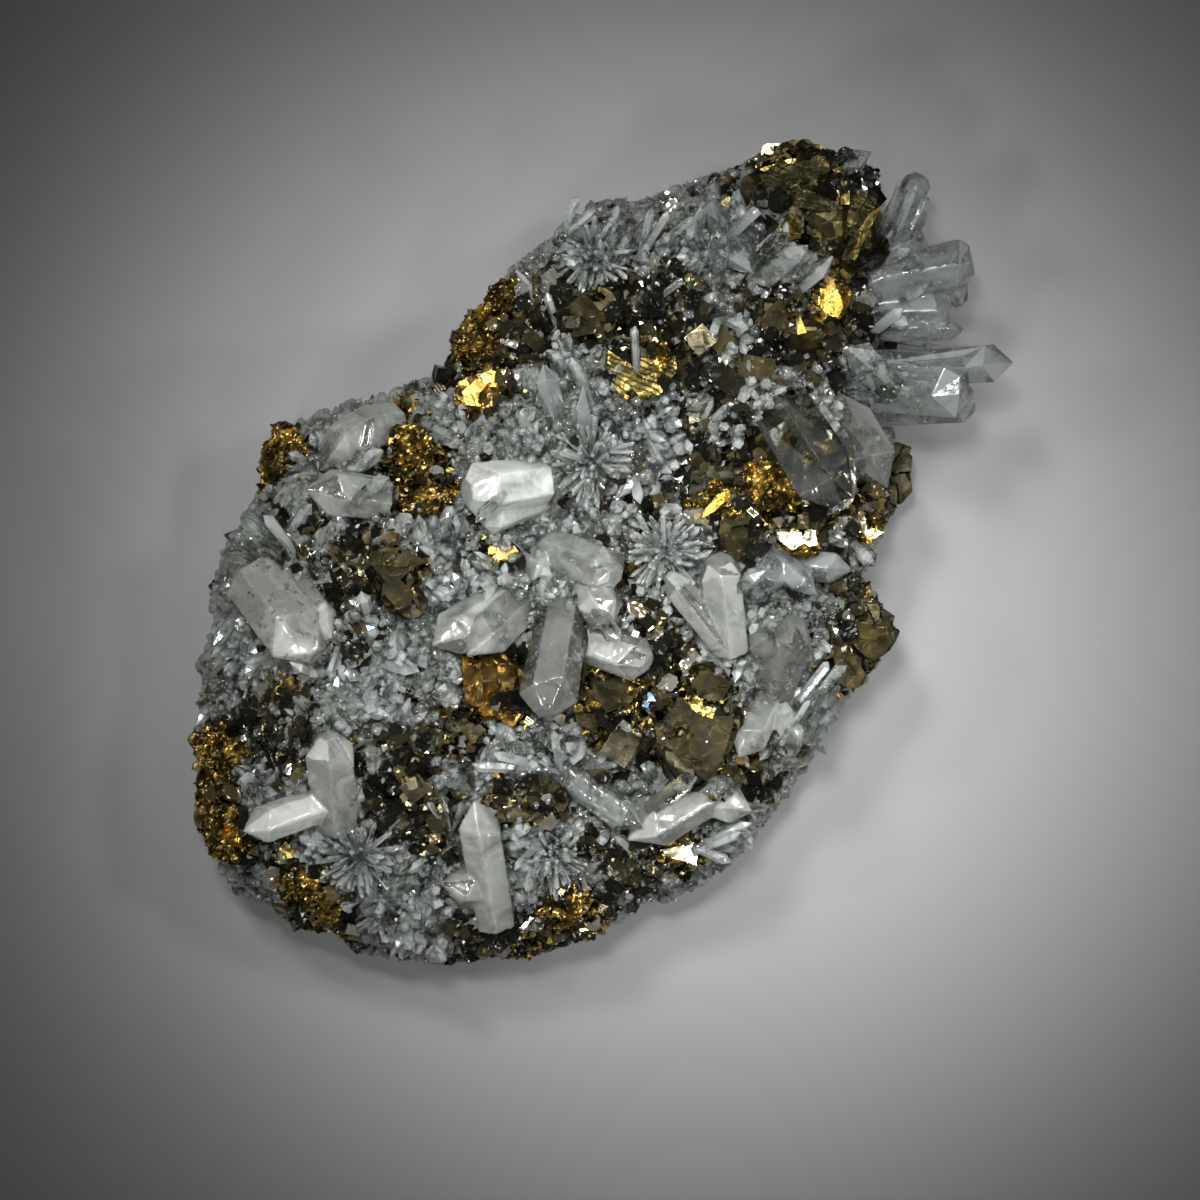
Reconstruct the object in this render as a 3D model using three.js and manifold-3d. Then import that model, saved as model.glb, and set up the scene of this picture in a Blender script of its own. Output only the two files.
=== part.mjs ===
// A hand specimen of chalcopyrite with quartz, grown on a dark sulphide rock and lying on its flat back.
// Millimetres, +Z up. The origin is on the resting plane, under the middle of the specimen's box.
// Brassy chalcopyrite lumps, clear to milky quartz crystals and a few pyrite cubes grow on the rock's top.
import * as THREE from "three";
import { ConvexGeometry } from "three/addons/geometries/ConvexGeometry.js";
import { mergeVertices } from "three/addons/utils/BufferGeometryUtils.js";
import Module from "manifold-3d";

const wasm = await Module();
wasm.setup();

// The rock: an oval along a slanting long axis, corrected to the outline below.
const HALF_LENGTH = 52;
const HALF_WIDTH = 34;
const LONG_AXIS = THREE.MathUtils.degToRad(48);
const ROCK_CENTRE = [-4, -3];
const RIM_HEIGHT = 9; // where the rock is widest
const CROWN_HEIGHT = 21; // of the top before its swells and blocks
const FOOT_SHARE = 0.8; // how far out the flat underside reaches
const ROCK_DETAIL = 8;
const GAP = 0.3; // left between two solids that touch

// Blocks that the top is broken into, and dark crystals fused to it.
const BLOCK_SIZE = 6.5;
const BLOCK_STEP = 1.3;
const BLOCK_SLOPE = 0.34;
const WALL_CHIP = 0.055; // how far blocks are broken out of the walls, over the distance from the middle
const GRAIN_COUNT = 24;
const GRAIN_SMALL = 1.2;
const GRAIN_LARGE = 2.2;

// Quartz and chalcopyrite habits.
const ROOT_DEPTH = 1.6;
const TIP_SHARE = 0.62; // a termination's length over the crystal's width
const TAPER = 0.9; // a prism's width at its root over that at its shoulder
const SHOULDER_SWAY = 0.16; // how unevenly the tip's faces start, over the width
const NEEDLE_WIDTH = 1.1;
const NEEDLE_SPREAD = THREE.MathUtils.degToRad(70);
const SPRAY_ROOT = 1.8; // radius and half height of the button that a spray's needles grow from
const LUMP_POINTS = 16;
const MAJOR_FACE = 0.62; // distance of a lump's four large faces, over its radius
const MINOR_FACE = 0.86;
const GOLDEN_ANGLE = Math.PI * (3 - Math.sqrt(5));

const COLOURS = {
  rock: { color: 0x35373a, roughness: 0.35, metalness: 0.5 },
  brass: { color: 0x9a7a2c, roughness: 0.3, metalness: 1 },
  quartz: { color: 0xc9d0d0, roughness: 0.2, metalness: 0 },
  pyrite: { color: 0xb8a878, roughness: 0.25, metalness: 1 },
};

// The rock's outline seen from above, clockwise from the top of the narrow end.
const OUTLINE = [
  [16.5, 41.5], [21, 41.8], [27, 40.6], [28.8, 37], [28.8, 32], [29.4, 27.5], [30.4, 23.5], [29, 15.2],
  [29.8, 10], [29.6, 4], [28.3, 1], [26.6, -1], [26.6, -3.8], [29, -5.2], [29.6, -8.8], [27.8, -11.8],
  [25, -14.3], [23.4, -18.3], [19.4, -23], [17.5, -26.3], [15, -29.8], [8, -34.8], [2.5, -36.2],
  [1.2, -38.2], [-7, -41], [-13, -41.8], [-20.7, -41.5], [-29, -38.8], [-36.5, -34.8], [-39.2, -32],
  [-40.9, -28.3], [-41.3, -23.8], [-40.8, -14.3], [-39.7, -9.8], [-39, -0.6], [-36, 1.9], [-34.8, 6.2],
  [-33.6, 10.4], [-31, 12.8], [-27.5, 14.8], [-22.2, 15.4], [-18.6, 17.5], [-15.2, 18.4], [-14.6, 21.2],
  [-11.4, 26], [-7.2, 30.2], [-3, 34.4], [1, 35.9], [6.8, 36.8], [13.8, 39.6],
];

// Swells of the top, and hollows where rise is negative.
const SWELLS = [
  { at: [20, 34], radius: 10, rise: 4.5 },
  { at: [3, 24], radius: 12, rise: 2.5 },
  { at: [-6, 10], radius: 9, rise: 2.5 },
  { at: [-26, 0], radius: 12, rise: 2 },
  { at: [-2, -8], radius: 9, rise: 3 },
  { at: [16, -6], radius: 8, rise: 1.5 },
  { at: [-24, -26], radius: 12, rise: 1.5 },
  { at: [9, -15], radius: 7, rise: 1.5 },
  { at: [4.5, -22], radius: 4, rise: -6 },
  { at: [7, 8.5], radius: 5, rise: -5 },
  { at: [21, -4], radius: 4, rise: -4 },
  { at: [26, 9], radius: 4, rise: -3 },
  { at: [-19, 10], radius: 4, rise: -2.5 },
  { at: [1, -32], radius: 5, rise: -2 },
];

// Chalcopyrite. A lump stands at a point, is wide, deep and high, rises by its lift above the rock,
// and has one large face that leans towards a compass direction in degrees from +X.
const CHALCOPYRITE = [
  { name: "chalcopyrite_crown", lumps: [
    { at: [20.6, 35], size: [14.4, 13, 11], lift: 1, lean: 12, towards: 200 },
    { at: [25.6, 31.4], size: [7.6, 9.6, 8], lift: 0.8, lean: 25, towards: 330 }] },
  { name: "chalcopyrite_flame", lumps: [{ at: [22.8, 25.8], size: [4.8, 7.6, 6], lift: 2, lean: 14, towards: 120 }] },
  { name: "chalcopyrite_steps", lumps: [
    { at: [17.5, 23.4], size: [5.4, 5.4, 6], lift: 1.2, lean: 30, towards: 290 },
    { at: [20.8, 21.4], size: [7.4, 4.6, 6], lift: 1, lean: 28, towards: 270 }] },
  { name: "chalcopyrite_spire", lumps: [
    { at: [5.4, 19.4], size: [5.4, 8, 8], lift: 1.4, lean: 34, towards: 20 },
    { at: [3.6, 16.8], size: [7.4, 5.4, 6], lift: 0.8, lean: 20, towards: 250 }] },
  { name: "chalcopyrite_ridge", lumps: [
    { at: [-12, 21.2], size: [7, 7, 7], lift: 0.8, lean: 30, towards: 140 },
    { at: [-9, 25], size: [6, 6, 6], lift: 0.8, lean: 24, towards: 100 }] },
  { name: "chalcopyrite_nugget", lumps: [{ at: [-11.3, 16], size: [7.6, 6, 6], lift: 1.2, lean: 15, towards: 125 }] },
  { name: "chalcopyrite_horn", lumps: [{ at: [-1, 23.6], size: [7, 6, 6], lift: 1, lean: 36, towards: 60 }] },
  { name: "chalcopyrite_grainy", lumps: [
    { at: [-19, 9.6], size: [6, 7, 6], lift: 1, lean: 18, towards: 90 },
    { at: [-17.6, 5.8], size: [7.4, 6.4, 6], lift: 0.8, lean: 22, towards: 270 }] },
  { name: "chalcopyrite_west", lumps: [{ at: [-31.6, 9.6], size: [6, 8, 8], lift: -0.4, lean: 38, towards: 150 }] },
  { name: "chalcopyrite_flank", lumps: [
    { at: [-37.4, -19.4], size: [7, 7, 7], lift: 0, lean: 34, towards: 175 },
    { at: [-38, -23.6], size: [6, 6, 7], lift: 0, lean: 38, towards: 190 },
    { at: [-37, -28], size: [7, 8, 8], lift: -0.4, lean: 30, towards: 215 }] },
  { name: "chalcopyrite_heel", lumps: [
    { at: [-29.6, -33.2], size: [6, 5.6, 7], lift: 0, lean: 30, towards: 230 },
    { at: [-27.2, -35], size: [7, 6, 8], lift: -0.4, lean: 36, towards: 240 }] },
  { name: "chalcopyrite_spark", lumps: [{ at: [-10.3, -0.4], size: [5.6, 3.6, 5], lift: 1.2, lean: 14, towards: 118 }] },
  { name: "chalcopyrite_amber", lumps: [
    { at: [-9.6, -12.6], size: [9, 10, 8], lift: 0.4, lean: 16, towards: 300 }] },
  { name: "chalcopyrite_ember", lumps: [{ at: [0.8, -14], size: [8.4, 7, 7], lift: 0.6, lean: 22, towards: 330 }] },
  { name: "chalcopyrite_lens", lumps: [{ at: [-15, -18.2], size: [9.6, 6.4, 6], lift: 0.4, lean: 8, towards: 250 }] },
  { name: "chalcopyrite_cup", hollow: { at: [-7.8, -24.2], size: [7.6, 3.4, 3.6], lift: 3 }, lumps: [
    { at: [-7.8, -24.8], size: [10.6, 6, 7], lift: 0.6, lean: 6, towards: 270 }] },
  { name: "chalcopyrite_slab", lumps: [
    { at: [9.4, -18], size: [11, 12, 9], lift: 0.2, lean: 12, towards: 240 },
    { at: [10.4, -13.8], size: [8, 6, 6], lift: 0.8, lean: 26, towards: 80 }] },
  { name: "chalcopyrite_bar", lumps: [
    { at: [12, 5.2], size: [9.6, 6.6, 7], lift: 0.8, lean: 20, towards: 300 },
    { at: [16.4, 6.6], size: [7, 5.6, 6], lift: 1, lean: 24, towards: 70 }] },
  { name: "chalcopyrite_drift", lumps: [{ at: [21, 6], size: [7.6, 6, 6], lift: 1.4, lean: 26, towards: 280 }] },
  { name: "chalcopyrite_fire", lumps: [{ at: [19.6, 1.5], size: [6.4, 4.8, 6], lift: 1.2, lean: 15, towards: 122 }] },
  { name: "chalcopyrite_glint", lumps: [{ at: [26.8, 2.4], size: [5, 4.8, 6], lift: 0.6, lean: 14, towards: 118 }] },
  { name: "chalcopyrite_disc", lumps: [{ at: [30, 8.4], size: [6.2, 7, 7], lift: 0, lean: 10, towards: 20 }] },
  { name: "chalcopyrite_shoulder", lumps: [
    { at: [26.9, -7.8], size: [7.4, 8, 8], lift: 0.6, lean: 12, towards: 320 },
    { at: [24.3, -11], size: [7, 7, 7], lift: 0.4, lean: 16, towards: 280 }] },
  { name: "chalcopyrite_keel", lumps: [{ at: [8, -30], size: [6.4, 4.6, 6], lift: 0.6, lean: 15, towards: 120 }] },
  { name: "chalcopyrite_hem", lumps: [
    { at: [-1.6, -36.6], size: [6.4, 4.6, 7], lift: 0, lean: 30, towards: 280 },
    { at: [-3.8, -35], size: [6.4, 6, 7], lift: 0.2, lean: 24, towards: 200 }] },
  { name: "chalcopyrite_olive", lumps: [{ at: [-20.2, -3.2], size: [6.4, 8, 6], lift: 0.8, lean: 18, towards: 310 }] },
];

// Quartz. A crystal runs from its root to its tip, both seen from above, and its tip stands rise above the
// rock at the root. A broken tip ends in a flat face, blunt times as wide as the crystal. A spray is a ball of
// needles.
const QUARTZ = [
  { name: "quartz_fan_upper", crystals: [
    { from: [28.2, 30.8], to: [32.4, 38], rise: 2, width: 3.4, blunt: 0.5 },
    { from: [27.8, 31.2], to: [32.7, 34.6], rise: 0.4, width: 3.2, blunt: 0.5 },
    { from: [27.4, 29.4], to: [32.6, 31.8], rise: -1, width: 3.8, blunt: 0.6 }] },
  { name: "quartz_fan_middle", crystals: [
    { from: [27, 27.4], to: [37.4, 29.4], rise: 1.4, width: 5.4, blunt: 0.6 },
    { from: [28, 26], to: [37, 26.6], rise: -1, width: 4.4, blunt: 0.6 },
    { from: [28, 24.2], to: [35.2, 24.4], rise: 0.6, width: 3.6, blunt: 0.5 },
    { from: [28, 22.6], to: [36.8, 22.4], rise: -1, width: 3.4 }] },
  { name: "quartz_fan_point", crystals: [
    { from: [26, 18.6], to: [41.4, 18.9], rise: 2, width: 4.2 },
    { from: [26, 17], to: [36.4, 16.4], rise: 4.2, width: 6, blunt: 0.6 },
    { from: [27, 14.6], to: [37.8, 15.2], rise: 0, width: 5, blunt: 0.5 },
    { from: [27.4, 16.4], to: [23.6, 21], rise: 3.4, width: 5 }] },
  { name: "quartz_pendant", crystals: [{ from: [24.8, 14.6], to: [28.8, 6.4], rise: 2.6, width: 5.2 }] },
  { name: "quartz_smoky", crystals: [
    { from: [18.6, 13.4], to: [24.2, 4.6], rise: 3.2, width: 7.6, blunt: 0.4 }] },
  { name: "quartz_giant", crystals: [
    { from: [-33.8, -3.6], to: [-28.2, -10.4], rise: 4.6, width: 7.4, blunt: 0.3 },
    { from: [-30.4, -3.6], to: [-26.6, -8.8], rise: 3, width: 4.4 }] },
  { name: "quartz_tusk", crystals: [
    { from: [-25.4, -24.4], to: [-35.6, -27.8], rise: 3, width: 4 },
    { from: [-26.4, -26.2], to: [-27, -18.2], rise: 4, width: 5.4, blunt: 0.4 }] },
  { name: "quartz_tower", crystals: [
    { from: [-10.6, -36], to: [-12.5, -24.6], rise: 6, width: 4.8 },
    { from: [-12.4, -33.6], to: [-16, -33], rise: 3, width: 4.4 }] },
  { name: "quartz_flame", crystals: [
    { from: [-3.8, -7], to: [-5.4, -16], rise: 5.4, width: 6, blunt: 0.4 }] },
  { name: "quartz_block", crystals: [
    { from: [-7, 6.8], to: [-13.2, 5.8], rise: 3.4, width: 5.8, blunt: 0.5 },
    { from: [-7, 4.8], to: [-11.6, 3], rise: 3, width: 3.4, blunt: 0.4 }] },
  { name: "quartz_middle", crystals: [
    { from: [-3.8, -0.2], to: [1.6, -2.4], rise: 3.8, width: 5, blunt: 0.5 },
    { from: [-0.8, -2.8], to: [0.6, -7], rise: 4, width: 4.6, blunt: 0.4 },
    { from: [-5, 2], to: [-6.8, -3], rise: 4, width: 2.6 }] },
  { name: "quartz_bean", crystals: [
    { from: [-2, -8.6], to: [4.8, -11], rise: 3, width: 4.8, blunt: 0.5 }] },
  { name: "quartz_pair", crystals: [
    { from: [-10, -5.2], to: [-16.8, -9.4], rise: 2.6, width: 4.8 },
    { from: [-8.4, -5.8], to: [-13.2, -10.4], rise: 3.8, width: 5 }] },
  { name: "quartz_column", crystals: [
    { from: [12.8, -8.4], to: [11.8, -0.8], rise: 5, width: 4.6, blunt: 0.6 },
    { from: [11.2, -7.8], to: [6.8, -2.2], rise: 3.6, width: 3.4, blunt: 0.3 }] },
  { name: "quartz_buttons", crystals: [
    { from: [16, -9.8], to: [16.6, -8.6], rise: 4.8, width: 3.6 },
    { from: [17.6, -12.6], to: [19.6, -6.8], rise: 3.4, width: 5.4, blunt: 0.4 }] },
  { name: "quartz_slanted", crystals: [
    { from: [17.4, -0.6], to: [21.8, -4.4], rise: 2.2, width: 3.2 },
    { from: [18.8, -1], to: [25.4, -1.8], rise: 0.6, width: 3.6 },
    { from: [17.2, -0.8], to: [15.4, -5.2], rise: 2.4, width: 4.2 }] },
  { name: "quartz_lower", crystals: [
    { from: [17, -14], to: [13.8, -20.6], rise: 3.6, width: 4 },
    { from: [17.2, -14.4], to: [20.2, -19.6], rise: 2.4, width: 3 }] },
  { name: "quartz_edge", crystals: [
    { from: [20.8, -13.8], to: [24, -16.6], rise: 1.6, width: 5 },
    { from: [20.4, -16.4], to: [22.8, -20.4], rise: 1, width: 4 }] },
  { name: "quartz_log", crystals: [
    { from: [11.2, -24], to: [2.6, -28.8], rise: 2.8, width: 5 },
    { from: [10.6, -24.6], to: [15.4, -26], rise: 1, width: 3.8 }] },
  { name: "quartz_glassy", crystals: [
    { from: [-4.6, -21.4], to: [4.4, -27.6], rise: 3, width: 3.6 },
    { from: [-3.4, -21.8], to: [-9.8, -21], rise: 2.6, width: 3.6 }] },
  { name: "quartz_blade", crystals: [
    { from: [-4, 11.6], to: [-5.6, 18.6], rise: 3.6, width: 2.6 },
    { from: [-3, 12.6], to: [-1.6, 16.6], rise: 2.4, width: 4 }] },
  { name: "quartz_crest", crystals: [
    { from: [12, 33], to: [15.2, 27.6], rise: 5, width: 3.6 },
    { from: [12.6, 32.4], to: [11.4, 27.6], rise: 4, width: 3 }] },
  { name: "quartz_milky", crystals: [
    { from: [-21.6, 12.2], to: [-27, 11.2], rise: 2.6, width: 6 },
    { from: [-24.6, 11.4], to: [-28.2, 8], rise: 1.8, width: 5.4 }] },
  { name: "quartz_pebble", crystals: [{ from: [-22.6, 5.4], to: [-29.4, 6.2], rise: 1.6, width: 5 }] },
  { name: "quartz_spray_north", spray: { at: [-0.4, 29.4], reach: 5.4, count: 9 } },
  { name: "quartz_spray_centre", spray: { at: [-1.4, 8.6], reach: 6, count: 12 } },
  { name: "quartz_spray_east", spray: { at: [6, -0.2], reach: 5, count: 8 } },
  { name: "quartz_spray_west", spray: { at: [-24.6, -30.2], reach: 5.6, count: 10 } },
  { name: "quartz_spray_south", spray: { at: [-5, -30.4], reach: 4.6, count: 8 } },
];

// Pyrite: a cube's middle, seen from above, and its side.
const PYRITE = [
  { name: "pyrite_cube_south", at: [1.4, -19], side: 3.4 },
  { name: "pyrite_cube_north", at: [9.9, 21.2], side: 2.4 },
  { name: "pyrite_cube_west", at: [-18.4, -23], side: 2.4 },
];

// A repeatable stand-in for chance: a number from 0 to 1 for a whole-number key.
function chance(key) {
  const wave = Math.sin(key * 127.1 + 311.7) * 43758.5453;
  return wave - Math.floor(wave);
}

// A point of the rock's plan as an oval's own coordinates, where the oval's edge lies at a distance of 1.
function toOval([x, y]) {
  const dx = x - ROCK_CENTRE[0];
  const dy = y - ROCK_CENTRE[1];
  const along = (dx * Math.cos(LONG_AXIS) + dy * Math.sin(LONG_AXIS)) / HALF_LENGTH;
  const across = (dy * Math.cos(LONG_AXIS) - dx * Math.sin(LONG_AXIS)) / HALF_WIDTH;
  return [Math.atan2(across, along), Math.hypot(along, across)];
}

function fromOval(angle, distance) {
  const along = distance * Math.cos(angle) * HALF_LENGTH;
  const across = distance * Math.sin(angle) * HALF_WIDTH;
  return [
    ROCK_CENTRE[0] + along * Math.cos(LONG_AXIS) - across * Math.sin(LONG_AXIS),
    ROCK_CENTRE[1] + along * Math.sin(LONG_AXIS) + across * Math.cos(LONG_AXIS),
  ];
}

// The outline as the oval's distance to the edge at each angle, smoothed by a closed spline.
const SMOOTH_STEPS = 240;
const edgeCurve = new THREE.CatmullRomCurve3(OUTLINE.map(([x, y]) => new THREE.Vector3(x, y, 0)), true);
const edgePolar = edgeCurve.getPoints(SMOOTH_STEPS).map((p) => toOval([p.x, p.y])).sort((a, b) => a[0] - b[0]);

function edgeDistance(angle) {
  const next = edgePolar.findIndex(([a]) => a >= angle);
  const [a1, d1] = next > 0 ? edgePolar[next] : edgePolar[0];
  const [a0, d0] = next > 0 ? edgePolar[next - 1] : edgePolar.at(-1);
  const span = (a1 - a0 + 2 * Math.PI) % (2 * Math.PI) || 1;
  const share = ((angle - a0 + 2 * Math.PI) % (2 * Math.PI)) / span;
  return d0 + (d1 - d0) * share;
}

// Broken blocks: each point takes the height of the tilted top of its nearest block.
function blockHeight(x, y) {
  let nearest = Infinity;
  let height = 0;
  const column = Math.floor(x / BLOCK_SIZE);
  const row = Math.floor(y / BLOCK_SIZE);
  for (let i = column - 1; i <= column + 1; i++) {
    for (let j = row - 1; j <= row + 1; j++) {
      const key = i * 57 + j * 131;
      const dx = x - (i + chance(key)) * BLOCK_SIZE;
      const dy = y - (j + chance(key + 1)) * BLOCK_SIZE;
      if (dx * dx + dy * dy < nearest) {
        nearest = dx * dx + dy * dy;
        const slope = [chance(key + 2) - 0.5, chance(key + 3) - 0.5].map((s) => 2 * BLOCK_SLOPE * s);
        height = BLOCK_STEP * (2 * chance(key + 4) - 1) + slope[0] * dx + slope[1] * dy;
      }
    }
  }
  return height;
}

// The height of the rock's top at a point of its plan. It falls steeply to the rim.
function topHeight(x, y) {
  const [angle, distance] = toOval([x, y]);
  const share = Math.min(distance / edgeDistance(angle), 1);
  const swell = SWELLS.reduce(
    (sum, { at, radius, rise }) => sum + rise * Math.exp(-((x - at[0]) ** 2 + (y - at[1]) ** 2) / radius ** 2), 0);
  return RIM_HEIGHT + (CROWN_HEIGHT - RIM_HEIGHT + swell + blockHeight(x, y)) * Math.sqrt(1 - share ** 4);
}

// A geometry as a solid. Its seams are merged first, and triangles that shrink to a line are dropped.
function toSolid(geometry) {
  const bare = geometry.clone();
  bare.deleteAttribute("normal");
  bare.deleteAttribute("uv");
  const merged = mergeVertices(bare, 1e-4);
  const index = [...merged.index.array];
  const kept = [];
  for (let i = 0; i < index.length; i += 3) {
    const [a, b, c] = index.slice(i, i + 3);
    if (a !== b && b !== c && c !== a) kept.push(a, b, c);
  }
  return new wasm.Manifold(new wasm.Mesh({
    numProp: 3,
    vertProperties: merged.attributes.position.array,
    triVerts: new Uint32Array(kept),
  }));
}

function toMesh(name, solid, look) {
  const { vertProperties, triVerts } = solid.getMesh();
  const geometry = new THREE.BufferGeometry();
  geometry.setAttribute("position", new THREE.BufferAttribute(new Float32Array(vertProperties), 3));
  geometry.setIndex(new THREE.BufferAttribute(new Uint32Array(triVerts), 1));
  geometry.computeVertexNormals();
  const mesh = new THREE.Mesh(geometry, new THREE.MeshStandardMaterial({ ...look, flatShading: true }));
  mesh.name = name;
  return mesh;
}

function joined(solids) {
  return solids.reduce((sum, next) => sum.add(next));
}

// A solid without the chips that its neighbours have cut off.
function largestPiece(solid) {
  return solid.decompose().reduce((best, piece) => (piece.volume() > best.volume() ? piece : best));
}

// The rock's body: a ball pressed into the outline, with a domed top, undercut walls and a flat underside.
// extra makes it wider and higher all round, here and in the functions after it.
function rockBody(extra) {
  const WALL_SHARE = 0.4; // of the lower half of the ball that becomes wall
  const geometry = new THREE.IcosahedronGeometry(1, ROCK_DETAIL);
  const place = geometry.attributes.position;
  const direction = new THREE.Vector3();
  for (let i = 0; i < place.count; i++) {
    direction.fromBufferAttribute(place, i).normalize();
    const [angle] = toOval(fromOval(Math.atan2(direction.y, direction.x), 1));
    const edge = edgeDistance(angle);
    if (direction.z >= 0) {
      const [x, y] = fromOval(angle, edge * Math.min(Math.sqrt(1 - direction.z), 1));
      place.setXYZ(i, x, y, topHeight(x, y));
      continue;
    }
    const depth = -direction.z;
    const down = Math.min(depth / WALL_SHARE, 1);
    const inward = 1 - (1 - FOOT_SHARE) * down ** 1.6;
    const spread = down < 1 ? inward : FOOT_SHARE * Math.sqrt((1 - depth) / (1 - WALL_SHARE));
    const chip = WALL_CHIP * Math.sin(Math.PI * down) * Math.abs(blockHeight(50 * angle, 30 * depth));
    const [x, y] = fromOval(angle, edge * (spread - chip));
    place.setXYZ(i, x, y, RIM_HEIGHT * (1 - down));
  }
  return toSolid(geometry.scale(1 + extra / HALF_WIDTH, 1 + extra / HALF_WIDTH, 1).translate(0, 0, extra));
}

// Dark sphalerite and galena crystals over the top, half sunk in the rock.
function rockGrains(extra) {
  const shapes = [
    new THREE.OctahedronGeometry(1), new THREE.TetrahedronGeometry(1.5), new THREE.BoxGeometry(1.3, 1.3, 1.3)];
  const grains = [];
  for (let i = 0; i < GRAIN_COUNT; i++) {
    const [x, y] = fromOval(i * GOLDEN_ANGLE, 0.93 * Math.sqrt((i + 0.5) / GRAIN_COUNT));
    const [angle, distance] = toOval([x, y]);
    if (distance > 0.95 * edgeDistance(angle)) continue;
    const size = GRAIN_SMALL + (GRAIN_LARGE - GRAIN_SMALL) * chance(i) + extra;
    const turn = new THREE.Euler(6 * chance(i + 0.3), 6 * chance(i + 0.6), 0);
    const matrix = new THREE.Matrix4().compose(
      new THREE.Vector3(x, y, topHeight(x, y) + 0.2 * size),
      new THREE.Quaternion().setFromEuler(turn), new THREE.Vector3(size, size, size));
    grains.push(toSolid(shapes[i % shapes.length].clone().applyMatrix4(matrix)));
  }
  return grains;
}

// A six-sided crystal with an uneven six-faced tip, whole or broken off, standing on a root.
function quartzCrystal(root, tip, width, blunt, extra) {
  const axis = tip.clone().sub(root).normalize();
  const start = root.clone().addScaledVector(axis, -ROOT_DEPTH - extra);
  const length = start.distanceTo(tip) + 1.6 * extra;
  const radius = width / 2 + extra;
  const shoulder = length - 2 * TIP_SHARE * radius * (1 - blunt);
  const profile = [[0, 0], [TAPER * radius, 0], [radius, shoulder], [blunt * radius, length], [0, length]];
  const geometry = new THREE.LatheGeometry(profile.map(([r, h]) => new THREE.Vector2(r, h)), 6);
  const place = geometry.attributes.position;
  const phase = 6 * chance(Math.round(10 * root.x + 7 * tip.y));
  for (let i = 0; i < place.count; i++) {
    if (Math.abs(place.getY(i) - shoulder) > 1e-3) continue;
    const around = Math.atan2(place.getZ(i), place.getX(i));
    place.setY(i, shoulder + SHOULDER_SWAY * width * Math.sin(2 * around + phase));
  }
  const turn = new THREE.Quaternion().setFromUnitVectors(new THREE.Vector3(0, 1, 0), axis);
  return toSolid(geometry.applyQuaternion(turn).translate(start.x, start.y, start.z));
}

function quartzCluster({ crystals, spray }, extra) {
  if (spray) return quartzSpray(spray, extra);
  return joined(crystals.map(({ from, to, rise, width, blunt = 0 }) => {
    const height = topHeight(...from);
    return quartzCrystal(
      new THREE.Vector3(...from, height), new THREE.Vector3(...to, height + rise), width, blunt, extra);
  }));
}

// Four-sided needles that fan out of a button on the rock, the middle ones upright and the outer ones low.
function quartzSpray({ at, reach, count }, extra) {
  const size = SPRAY_ROOT + extra;
  const button = new THREE.OctahedronGeometry(size).rotateX(Math.PI / 2);
  const centre = new THREE.Vector3(...at, topHeight(...at) + 0.4 * SPRAY_ROOT);
  const needles = [];
  for (let i = 0; i < count; i++) {
    const lean = NEEDLE_SPREAD * Math.sqrt((i + 0.5) / count);
    const length = reach * (0.8 + 0.2 * chance(i + reach)) + extra;
    const needle = new THREE.ConeGeometry(NEEDLE_WIDTH / 2 + extra, length, 4).translate(0, length / 2, 0);
    needle.rotateX(lean).rotateY(i * GOLDEN_ANGLE).rotateX(Math.PI / 2);
    needles.push(toSolid(needle.translate(...centre)));
  }
  return joined([toSolid(button.translate(...centre)), ...needles]);
}

// The four large and four small faces of a wedge-shaped chalcopyrite crystal, the first one turned straight up.
function wedgeFaces() {
  const corners = [[1, 1, 1], [-1, -1, 1], [-1, 1, -1], [1, -1, -1]].map((c) => new THREE.Vector3(...c).normalize());
  const upright = new THREE.Quaternion().setFromUnitVectors(corners[0], new THREE.Vector3(0, 0, 1));
  return corners.flatMap((normal) => [
    { normal: normal.clone().applyQuaternion(upright), distance: MAJOR_FACE },
    { normal: normal.clone().negate().applyQuaternion(upright), distance: MINOR_FACE },
  ]);
}

// Points all round a ball, each pressed back onto the crystal's flat faces, make the lump's hull.
function chalcopyriteLump({ at, size, lift, lean, towards }, extra) {
  const compass = THREE.MathUtils.degToRad(towards);
  const turn = new THREE.Quaternion()
    .setFromAxisAngle(new THREE.Vector3(-Math.sin(compass), Math.cos(compass), 0), THREE.MathUtils.degToRad(lean))
    .multiply(new THREE.Quaternion().setFromAxisAngle(new THREE.Vector3(0, 0, 1), 6 * chance(at[0] + at[1])));
  const faces = wedgeFaces();
  const points = Array.from({ length: LUMP_POINTS }, (_, i) => {
    const z = 1 - (2 * i + 1) / LUMP_POINTS;
    const around = i * GOLDEN_ANGLE;
    const ring = Math.sqrt(1 - z * z);
    const point = new THREE.Vector3(ring * Math.cos(around), ring * Math.sin(around), z);
    for (const { normal, distance } of faces) {
      point.addScaledVector(normal, -Math.max(point.dot(normal) - distance, 0));
    }
    return point.applyQuaternion(turn);
  });
  const half = new THREE.Vector3(...size).multiplyScalar(0.5).addScalar(extra);
  return toSolid(new ConvexGeometry(points).scale(half.x, half.y, half.z)
    .translate(at[0], at[1], topHeight(...at) + lift));
}

function chalcopyriteCluster({ lumps, hollow }, extra) {
  const cluster = joined(lumps.map((lump) => chalcopyriteLump(lump, extra)));
  if (!hollow || extra > 0) return cluster;
  const [width, depth, height] = hollow.size;
  const bowl = new THREE.IcosahedronGeometry(0.5, 2).scale(width, depth, height)
    .translate(...hollow.at, topHeight(...hollow.at) + hollow.lift);
  return cluster.subtract(toSolid(bowl));
}

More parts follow.
